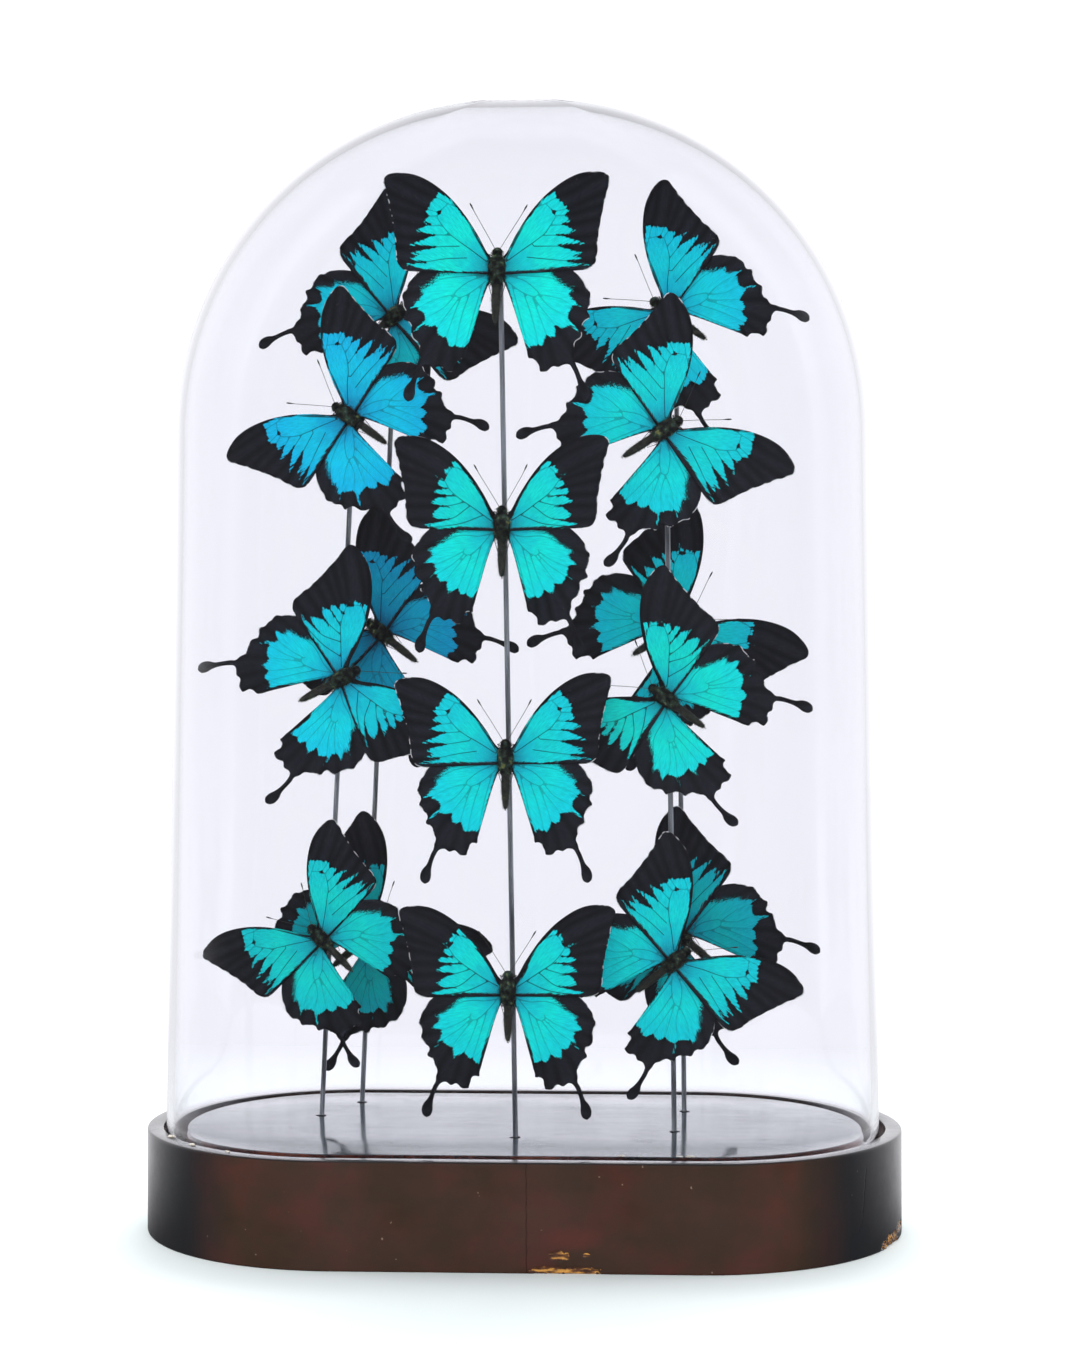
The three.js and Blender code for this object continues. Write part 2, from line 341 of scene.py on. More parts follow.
# the veneered base with its raised rim and groove, and the polished board inside
base = {
    "radius": 89, "height": 44, "rimInner": 82, "seat": 36, "bevel": 0.8, "rimEdge": 0.6, "boardRadius": 72,
    "boardGap": 0.3, "plainStep": 2.8,
    "veneer": "#3A251A", "veneerRed": "#44251B", "veneerDark": "#2C1E15", "redPatch": "#52231A",
    "bareWood": "#B5813A", "bareWoodDark": "#5E3A20",
}
# wear of the base, in mm: x, z, half width, half height, depth (on the front or the right end)
chips = [
    (14.5, 1.2, 8.5, 1.7, 0.8), (27.0, 1.0, 8.5, 1.9, 0.8), (18.5, 7.2, 4.6, 2.0, 0.5),
    (29.5, 7.6, 1.6, 0.8, 0.4), (155.0, 1.9, 4.4, 3.6, 1.1), (159.5, 5.4, 1.6, 2.6, 0.7),
    (-79.0, 14.5, 1.4, 0.3, 0.2), (-83, 11.6, 0.8, 0.3, 0.2),
]
# thin dark lines: x at the bottom and at the top, lowest and highest z, half width, how dark
cracks = [(5.6, 5.4, 0, 44, 0.16, 0.5), (141.0, 142.6, 17, 36, 0.1, 0.35), (139.3, 141.0, 11, 16, 0.08, 0.35)]
rimJoints = (-46.0, -10.4, -128.0, 131.0)      # degrees round the ends, where the rim's veneer meets
# where the mesh is finer, by x on the front and on the right end: x, half width, step
fineFront = [(14.5, 9.5, 0.5), (27, 10, 0.5), (5.5, 0.9, 0.12), (-79.0, 2.5, 0.4)]
fineEnd = [(142.0, 3.92, 0.2), (140, 2.8, 0.2), (155, 8.4, 0.6)]


def roundEnd(angle):
    # place along the outline of a point on a rounded end, by its angle round that end
    side, end = 2 * plan["straightHalf"], math.pi * base["radius"]
    if abs(angle) < 90:
        return side + math.radians(angle + 90) * base["radius"]
    return 2 * side + end + math.radians((angle + 360) % 360 - 90) * base["radius"]


def columnStations():
    # places along the outline, closer together where the base is worn: middle, half width, step
    side, end = 2 * plan["straightHalf"], math.pi * base["radius"]
    marks = [(plan["straightHalf"] + x, half, step) for x, half, step in fineFront]
    for x, half, step in fineEnd:
        angle = 90 - math.degrees(math.acos((x - plan["straightHalf"]) / base["radius"]))
        marks.append((side + math.radians(angle) * base["radius"], half, step))
    marks += [(roundEnd(angle), 0.7, 0.12) for angle in rimJoints]
    total = 2 * (side + end)
    stations = [0.0]
    corners = [side, side + end, 2 * side + end, total]
    while stations[-1] < total:
        here = stations[-1]
        step = base["plainStep"]
        for centre, half, fine in marks:
            gap = abs(here - centre) - half
            step = min(step, fine if gap < 0 else max(fine, gap * 0.5 + fine))
        ahead = min(corner for corner in corners if corner > here + 1e-6)
        stations.append(min(here + step, ahead))
    return np.array(stations[:-1])


def outlineAt(stations, radius):
    end, side = math.pi * base["radius"], 2 * plan["straightHalf"]
    half = plan["straightHalf"]
    found = []
    for s in stations:
        if s < side:
            found.append((-half + s, -radius))
        elif s < side + end:
            angle = (s - side) / base["radius"] - math.pi / 2
            found.append((half + radius * math.cos(angle), radius * math.sin(angle)))
        elif s < 2 * side + end:
            found.append((half - (s - side - end), radius))
        else:
            angle = (s - 2 * side - end) / base["radius"] + math.pi / 2
            found.append((-half + radius * math.cos(angle), radius * math.sin(angle)))
    return np.array(found)


def woodMaterial(name, hexes, values, grainLength, grainWidth):
    material, tree, shader = newMaterial(name)
    setInputs(shader, values)
    place = addNode(tree, "TexCoord").outputs["Object"]
    stretch = addNode(tree, "Mapping", {
        "Scale": (1 / (grainLength * mm), 1 / (grainWidth * mm), 1 / (grainWidth * mm)),
        0: place})
    grain = addNode(tree, "TexNoise", {"Scale": 1.0, "Detail": 5, "Roughness": 0.6, "Vector": stretch})
    cloud = addNode(tree, "TexNoise", {
        "Scale": 34, "Detail": 5, "Roughness": 0.62, "Vector": place})
    blend = addNode(tree, "Math", {"operation": "MULTIPLY_ADD", 1: 0.4, 0: grain, 2: cloud})
    colour = addNode(tree, "ValToRGB", {"stops": hexes, "Fac": blend})
    return material, tree, shader, place, grain, cloud, colour


def rosewoodVeneer():
    # dark rosewood veneer, French polished long ago: brown with red mottling and a soft, worn gloss
    hexes = [(0.46, base["veneerDark"]), (0.62, base["veneer"]), (0.76, base["veneerRed"]), (0.92, "#3E2C1A")]
    veneer, tree, shader, place, grain, cloud, colour = woodMaterial(
        "polished_rosewood_veneer", hexes,
        {"Roughness": 0.38, "IOR": 1.5, "Specular IOR Level": 0.35, "Coat IOR": 1.6,
         "Coat Roughness": 0.12}, grainLength=22, grainWidth=5)
    bare, gap, red, aged, rimTop, groove = [
        addNode(tree, "Attribute", {"attribute_name": key}).outputs["Fac"]
        for key in ("bare", "gap", "red", "aged", "rimTop", "groove")]
    fresh = addNode(tree, "TexNoise", {"Scale": 520, "Detail": 4, "Vector": place})
    fibres = addNode(tree, "Mapping", {"Scale": (160, 900, 900), 0: place})
    splinter = addNode(tree, "TexNoise", {"Scale": 1.0, "Detail": 3, "Vector": fibres})
    wood = addNode(tree, "ValToRGB", {
        "stops": [(0.38, "#3A2113"), (0.5, base["bareWoodDark"]), (0.62, base["bareWood"])],
        "Fac": splinter})
    edge = addNode(tree, "Math", {"operation": "MULTIPLY_ADD", 1: 0.9, 2: -0.45, 0: fresh})
    worn = addNode(tree, "Math", {"operation": "ADD", 0: bare, 1: edge})
    mask = addNode(tree, "MapRange", {"From Min": 0.42, "From Max": 0.58, "Value": worn})
    # olive and red patches where the old polish has yellowed or worn
    stain = addNode(tree, "TexNoise", {
        "Scale": 42, "Detail": 4, "Roughness": 0.6, "Vector": place})
    hues = addNode(tree, "ValToRGB", {
        "stops": [(0.4, "#33261A"), (0.5, base["veneer"]), (0.61, "#48231B")], "Fac": stain})
    stained = addNode(tree, "Mix", {"data_type": "RGBA", 0: 0.6, 6: colour, 7: hues})
    reddened = addNode(tree, "Mix", {
        "data_type": "RGBA", 7: base["redPatch"], 0: red, 6: stained})
    # painted shade: the outer parts of the rounded ends are painted bluish-black where they turn away from
    # the light, and the rim's top is darkened with the same colour; the groove shows red-brown ground
    darkened = addNode(tree, "Mix", {
        "data_type": "RGBA", 7: "#12161B", 0: aged, 6: reddened})
    ground = addNode(tree, "Mix", {
        "data_type": "RGBA", 7: "#3E1A10", 0: groove, 6: darkened})
    mixed = addNode(tree, "Mix", {"data_type": "RGBA", 0: mask, 6: ground, 7: wood})
    lined = addNode(tree, "Mix", {
        "data_type": "RGBA", 7: "#0D0807", 0: gap, 6: mixed})
    polished = addNode(tree, "MapRange", {"To Min": 0.1, "To Max": 1.0, "Value": rimTop})
    # specks of dust and old wax
    dust = addNode(tree, "TexNoise", {"Scale": 420, "Detail": 1, "Vector": place})
    speck = addNode(tree, "MapRange", {"From Min": 0.79, "From Max": 0.81, "To Max": 0.6, "Value": dust})
    dusted = addNode(tree, "Mix", {"data_type": "RGBA", 7: "#8F7A66", 0: speck, 6: lined})
    polish = addNode(tree, "MapRange", {
        "From Min": 0.35, "From Max": 0.7, "To Min": 0.28, "To Max": 0.5, "Value": cloud})
    dry = addNode(tree, "Mix", {3: 0.8, 0: mask, 2: polish})
    bump = addNode(tree, "Bump", {"Strength": 0.1, "Distance": 0.0004, "Height": grain})
    setInputs(shader, {"Base Color": dusted, "Roughness": dry, "Coat Weight": polished, "Normal": bump})
    return veneer


def baseProfile():
    # radius and height, from the middle of the underside out, up, over the rim and into the groove
    bevel, top, radius = base["bevel"], base["height"], base["radius"]
    soft, inner, seat = base["rimEdge"], base["rimInner"], base["seat"]
    quarter = np.linspace(0, math.pi / 2, 5)
    wall = np.r_[np.arange(bevel, 12, 0.5), np.linspace(12, top - bevel, 30)]
    low = [(radius - bevel * (1 - math.sin(a)), bevel * (1 - math.cos(a))) for a in quarter[:-1]]
    high = [(radius - bevel * (1 - math.cos(a)), top - bevel * (1 - math.sin(a))) for a in quarter[1:]]
    lip = [(inner + soft * (1 - math.sin(a)), top - soft * (1 - math.cos(a)))
           for a in np.linspace(0, math.pi / 2, 4)]
    floor = [(inner, 40)] + [(r, seat) for r in (inner, inner - 5, base["boardRadius"], 36, 0)]
    return [(0, 0), (radius * 0.5, 0)] + low + [(radius, z) for z in wall] + high + lip + floor


def baseWear(points):
    # how deep the wear goes at each point, and the fields that the veneer reads
    x, y, z = points.T
    away, inner = awayFromMiddle(x, y), base["rimInner"]
    onWall = (y < 30) & (away > base["radius"] - 2)
    phases = np.random.default_rng(7).uniform(0, 6.28, 6)
    ragged = (np.sin(x * 1.9 + phases[0]) + np.sin(x * 3.7 + z * 2.1 + phases[1])
              + np.sin(z * 3.1 - x + phases[2])) / 3
    bare, gap, depth = np.zeros((3, len(points)))
    for chipX, chipZ, halfX, halfZ, deep in chips:
        inside = 1 - ((x - chipX) / halfX) ** 2 - ((z - chipZ) / halfZ) ** 2 + 0.5 * ragged
        share = np.clip(inside / 0.35, 0, 1) * onWall * (y < 8)
        bare = np.maximum(bare, share)
        depth = np.maximum(depth, share * deep * (0.75 + 0.25 * ragged))
    for xLow, xHigh, low, high, half, strength in cracks:
        at = xLow + (xHigh - xLow) * (z - low) / max(high - low, 1) + 0.12 * np.sin(z * 0.9)
        share = np.clip(1.4 - np.abs(x - at) / half, 0, 1) * onWall * (z >= low) * (z <= high)
        gap = np.maximum(gap, share * strength)
        depth = np.maximum(depth, share * 0.15)
    for angle in rimJoints:
        centre = math.copysign(plan["straightHalf"], math.cos(math.radians(angle)))
        turned = np.degrees(np.arctan2(y, x - centre)) - angle
        off = np.radians(np.abs((turned + 180) % 360 - 180)) * away
        onRim = (z > 42) * (away > inner - 1) * (np.sign(x) == np.sign(centre))
        gap = np.maximum(gap, np.clip(1.5 - off / 0.16, 0, 1) * onRim * 0.8)
    redPatch = np.clip(1.2 - ((x - 23) / 12) ** 2 - ((z - 14) / 5) ** 2 + 0.4 * ragged, 0, 1)
    # painted shade on the outer parts of the rounded ends, darker towards their middle
    ends = np.clip((np.abs(x) - 112) / 24, 0, 1) * 0.95
    rimTop = np.clip((z - 43.2) / 0.5, 0, 1) * (away > inner - 1)
    groove = (z < 43) * (away < inner + 0.1) * np.clip((z - 10) / 5, 0, 1)
    return depth, {"bare": bare, "gap": gap, "red": redPatch * onWall * 0.75,
                   "aged": np.maximum(ends, rimTop * 0.8), "rimTop": np.maximum(rimTop, ends),
                   "groove": groove * 0.8}


def makeBase():
    stations = columnStations()
    rings = [np.c_[outlineAt(stations, r), np.full(len(stations), z)] for r, z in baseProfile()]
    points, faces = ringStack(rings, False)
    depth, fields = baseWear(points)
    inward = -points[:, :2]
    inward[:, 0] += np.clip(points[:, 0], -plan["straightHalf"], plan["straightHalf"])
    inward /= np.linalg.norm(inward, axis=1)[:, None] + 1e-9
    points[:, :2] += inward * depth[:, None]
    piece = makeMesh("base_veneered", points, faces, [rosewoodVeneer()], fields=fields)
    weld(piece)
    piece.data.set_sharp_from_angle(angle=math.radians(50))
    enlist(piece, "base_veneer", "base")


def polishedBoard():
    # ebonised wood, French polished to a mirror: it shows the white room, with faint grain and fine marks;
    # red-brown where the polish has rubbed off its edge
    # its grain colours are blue-grey and its reflections tinted blue: partly the dark wood, partly a painted
    # blue cast of the mirrored room
    polish, tree, shader, place, grain, cloud, colour = woodMaterial(
        "french_polished_board", [(0.45, "#182027"), (0.8, "#20292F"), (1.0, "#2A343A")],
        {"IOR": 1.5, "Specular Tint": "#94CAF0", "Coat IOR": 1.55, "Coat Roughness": 0.1},
        grainLength=70, grainWidth=2.0)
    rubbed = addNode(tree, "ValToRGB", {
        "stops": [(0.4, "#160D0A"), (0.52, "#43190F"), (0.66, "#6E3318")], "Fac": cloud})
    edge = addNode(tree, "Attribute", {"attribute_name": "edge"}).outputs["Fac"]
    edged = addNode(tree, "Mix", {"data_type": "RGBA", 0: edge, 6: colour, 7: rubbed})
    # the polish is thin in places, which dulls its reflection
    thin = addNode(tree, "MapRange", {
        "From Min": 0.3, "From Max": 0.6, "To Min": 0.8, "To Max": 1.0, "Value": grain})
    # short dark scratches, mostly along the board
    drawn = addNode(tree, "Mapping", {"Scale": (110, 900, 900), "Rotation": (0, 0, 0.06), 0: place})
    scratches = addNode(tree, "TexNoise", {"Scale": 1.0, "Detail": 3, "Vector": drawn})
    scratch = addNode(tree, "MapRange", {
        "From Min": 0.69, "From Max": 0.74, "To Min": 1.0, "To Max": 0.0, "Value": scratches})
    scratched = addNode(tree, "Math", {"operation": "MULTIPLY", 0: thin, 1: scratch})
    gloss = addNode(tree, "MapRange", {
        "From Min": 0.35, "From Max": 0.7, "To Min": 0.08, "To Max": 0.3, "Value": cloud})
    bump = addNode(tree, "Bump", {"Strength": 0.05, "Distance": 0.0003, "Height": grain})
    setInputs(shader, {"Base Color": edged, "Roughness": gloss, "Coat Weight": scratched, "Normal": bump})
    return polish


def makeBoard():
    soft, radius, top = base["bevel"], base["boardRadius"], base["height"]
    bottom = base["seat"] + base["boardGap"]
    edge = [(radius - soft * (1 - math.cos(a)), top - soft * (1 - math.sin(a)))
            for a in np.linspace(0, math.pi / 2, 5)]
    profile = [(0, bottom), (radius, bottom)] + edge + [(radius * 0.5, top), (0, top)]
    outlines = [(oblong(r), z) for r, z in profile]
    points, faces = ringStack([np.c_[flat, np.full(len(flat), z)] for flat, z in outlines], False)
    side = (awayFromMiddle(points[:, 0], points[:, 1]) > radius - soft * 0.7) * (points[:, 2] < top - 0.1)
    piece = makeMesh("board_polished", points, faces, [polishedBoard()], fields={"edge": side * 1.0})
    weld(piece)
    piece.data.set_sharp_from_angle(angle=math.radians(50))
    enlist(piece, "board_polish", "board")


crumbs = {
    # where, angle or x along the front, how many, spread in mm
    "flakes": [("board", 44, 2, 2), ("board", 50, 1, 1), ("board", 67, 2, 1.5), ("board", 72, 2, 1.5),
               ("rim", -124, 2, 5), ("rim", -138, 3, 6), ("rim", -152, 2, 5)],
    "size": 1.1, "sides": 6, "colour": "#E6E2DA", "dusty": "#B0A48F",
}


def speckled(name, stops, values, scale, detail=2, relief=0.0):
    # a plain surface whose colour wanders between close tones, and its relief where it has any
    material, tree, shader = newMaterial(name)
    place = addNode(tree, "TexCoord").outputs["Object"]
    grain = addNode(tree, "TexNoise", {"Scale": scale, "Detail": detail, "Vector": place})
    colour = addNode(tree, "ValToRGB", {"stops": stops, "Fac": grain})
    setInputs(shader, {"Base Color": colour, **values})
    if relief:
        setInputs(shader, {"Normal": addNode(tree, "Bump", {
            "Strength": relief, "Distance": 0.0001, "Height": grain})})
    return material


def crumbPlace(where, at, spread, random):
    if where == "board":
        return at + random.uniform(-spread, spread), 1.4 - base["boardRadius"], base["height"]
    angle = math.radians(at) + random.uniform(-spread, spread) / base["rimInner"]
    reach = base["rimInner"] + random.uniform(0.9, 2.2)
    return reach * math.cos(angle) - plan["straightHalf"], reach * math.sin(angle), base["height"]


def makeCrumbs():
    # old linseed putty, flaked off in cream crumbs: dead matt
    putty = speckled("flaked_putty", [(0.3, crumbs["dusty"]), (0.6, crumbs["colour"])],
                     {"Roughness": 0.85, "Specular IOR Level": 0.2}, 1500)
    random = np.random.default_rng(11)
    points, faces, sides = [], [], crumbs["sides"]
    places = [flake[:2] + flake[3:] for flake in crumbs["flakes"] for i in range(flake[2])]
    for number, (where, at, spread) in enumerate(places):
        centre = crumbPlace(where, at, spread, random)
        size = crumbs["size"] * random.uniform(0.5, 1.3)
        turn = np.sort(random.uniform(0, 2 * math.pi, sides))
        ring = np.c_[np.cos(turn) * size * random.uniform(0.8, 1.6), np.sin(turn) * size * 0.8, turn * 0]
        upper = ring * 0.6 + (0, 0, size * random.uniform(0.35, 0.7))
        points += [ring + centre, upper + centre]
        first = number * 2 * sides
        low, high = [range(first + start, first + start + sides) for start in (0, sides)]
        faces += [(low[j], low[(j + 1) % sides], high[(j + 1) % sides], high[j]) for j in range(sides)]
        faces += [tuple(reversed(low)), tuple(high)]
    enlist(makeMesh("putty_crumbs", np.vstack(points), faces, [putty], smooth=False), "base_veneer")


makeBase()
makeBoard()
makeCrumbs()
print("the base and its board are made")

# five leaning steel rods: foot x, y on the board, then the top x, y, z
rods = {
    "center": (-1.5, -35, -8, -36, 412),
    "left_front": (-90, 12, -75, 11, 356),
    "left_back": (-76, 46, -59, 34, 404),
    "right_front": (65, -19, 61.5, -21, 350),
    "right_back": (70, 28.5, 66, 25, 404),
}
rod = {
    "radius": 1.1, "sides": 20, "steps": 40, "foot": 36.3, "tipRadius": 0.605, "steel": "#A6ABB1",
    "spots": "#5A5D63",
    # the ring of wax round its foot, as radius and height above the board
    "seat": [(1.15, -0.5), (2.3, -0.5), (2.3, 0.02), (1.84, 0.2), (1.5, 0.26), (1.15, 0.3)],
}


def tube(path, radii, sides):
    # a round tube with closed ends along a path in mm
    path = np.asarray(path, float)
    steps = len(path)
    along = np.gradient(path, axis=0)
    along /= np.linalg.norm(along, axis=1)[:, None]
    side = np.cross(along, (0.13, 0.97, 0.2))
    side /= np.linalg.norm(side, axis=1)[:, None]
    other = np.cross(along, side)
    turn = np.linspace(0, 2 * math.pi, sides, endpoint=False)[None, :, None]
    ring = np.cos(turn) * side[:, None, :] + np.sin(turn) * other[:, None, :]
    points = path[:, None, :] + ring * np.broadcast_to(radii, steps)[:, None, None]
    return points.reshape(-1, 3), tubeFaces(steps, sides)


def tubeFaces(steps, sides):
    faces = []
    for i in range(steps - 1):
        for j in range(sides):
            a, b = i * sides + j, i * sides + (j + 1) % sides
            faces.append((a, b, b + sides, a + sides))
    faces.append(tuple(range(sides))[::-1])
    faces.append(tuple((steps - 1) * sides + j for j in range(sides)))
    return faces


def drawnSteel():
    # drawn steel wire, slightly tarnished: grey with a light streak along it
    steel, tree, shader = newMaterial("drawn_steel_wire")
    place = addNode(tree, "TexCoord").outputs["Object"]
    stretch = addNode(tree, "Mapping", {"Scale": (600, 600, 25), 0: place})
    tarnish = addNode(tree, "TexNoise", {"Scale": 1.0, "Detail": 4, "Vector": stretch})
    colour = addNode(tree, "ValToRGB", {
        "stops": [(0.35, rod["spots"]), (0.65, rod["steel"])], "Fac": tarnish})
    setInputs(shader, {"Base Color": colour, "Metallic": 0.55, "Roughness": 0.4})
    return steel


def rodAt(name, z):
    # the middle of a rod at a height
    footX, footY, topX, topY, topZ = rods[name]
    foot, top = np.array((footX, footY, rod["foot"])), np.array((topX, topY, topZ))
    return foot + (top - foot) * (z - rod["foot"]) / (topZ - rod["foot"])


def makeSeat(name, wax):
    # where the rod enters the board the polish is broken: a low uneven ring of wax and dust
    footX, footY = rods[name][:2]
    middle = rodAt(name, base["height"])
    turn = np.linspace(0, 2 * math.pi, 24, endpoint=False)
    uneven = 1 + 0.16 * np.sin(turn * 3 + footX) + 0.1 * np.sin(turn * 5 + footY)
    rings = []
    for radius, z in rod["seat"]:
        reach = radius * (uneven if radius > 1.2 else 1)
        rings.append(middle + np.c_[np.cos(turn) * reach, np.sin(turn) * reach, np.full(len(turn), z)])
    points, faces = ringStack(rings, True)
    enlist(makeMesh("rod_" + name + "_seat", points, faces, [wax]), "board_polish")


def makeRods():
    steel = drawnSteel()
    # black wax that the rods are set in: dull, with dust in it
    wax = speckled("setting_wax", [(0.45, "#141416"), (0.7, "#4A4A4C")],
                   {"Roughness": 0.55, "IOR": 1.45, "Specular IOR Level": 0.3}, 900)
    for name, spot in rods.items():
        foot, top = rodAt(name, rod["foot"]), rodAt(name, spot[-1])
        path = foot + (top - foot) * np.r_[np.linspace(0, 1, rod["steps"]), 1][:, None]
        # the cut end has a small bevel
        path[-2] = top - (top - foot) / np.linalg.norm(top - foot) * 0.5
        radii = np.full(len(path), rod["radius"])
        radii[-1] = rod["tipRadius"]
        points, faces = tube(path, radii, rod["sides"])
        piece = makeMesh("rod_" + name + "_steel", points, faces, [steel], sharpAngle=40)
        enlist(piece, "rod_steel", "rod_" + name)
        makeSeat(name, wax)


makeRods()
print("the rods are made")

# sixteen swallowtails. Local mm: x along the right wing, z towards the head, wing root near (2, 0)
wing = {
    "step": 0.85, "thickness": 0.16, "rise": 5.0, "foreDepth": -0.25, "hindDepth": 0.75,
    "foreRoot": (2, 1), "hindRoot": (2, -1), "fullSpan": 46.0, "noSpot": (99, 99),
    "bodyToRod": 6.2, "camber": 1.3, "ripple": 0.22, "veinLift": 0.13,
    "scallop": 0.55, "scallopLength": 5.2, "scallopFrom": 33,
}
foreOutline = [(1.2, 3), (4.3, 7), (7.8, 13.3), (13.6, 21.8), (20, 28.8), (27, 34), (33.5, 36.9), (40, 37.6),
               (44.4, 36.8), (46.2, 34.8), (45.7, 31.5), (44.5, 27.5), (43.2, 22), (42, 16.6), (41, 10),
               (40.6, 4), (39.2, 0.2), (36, -1.6), (28, -1.8), (16, -2), (1.2, -2.2)]
hindOutline = [(1.2, 0.5), (10, 1.4), (20, 1.4), (27, -0.2), (33.3, -5.6), (36.2, -10.3), (37.5, -14.6),
               (35.9, -19.2), (36.2, -22.4), (32.9, -25.4), (33, -29), (30.2, -31.6), (28.9, -35.5),
               (29, -39), (30.4, -43.6), (31.6, -47), (33.4, -49.4), (34.2, -52), (33.7, -54.3),
               (32.1, -55.5), (30.3, -54.6), (29.5, -52.2), (29.6, -49.5), (29.2, -46.5), (28.1, -43),
               (26.6, -40.6), (24.6, -40.2), (22.3, -41.2), (20, -40.6), (17.3, -42.4), (14.6, -42.2),
               (13.8, -39), (12.6, -37.4), (10.3, -37), (9.5, -31.5), (7.5, -23), (5.5, -14.5),
               (3.5, -7.5), (1.4, -2.4)]
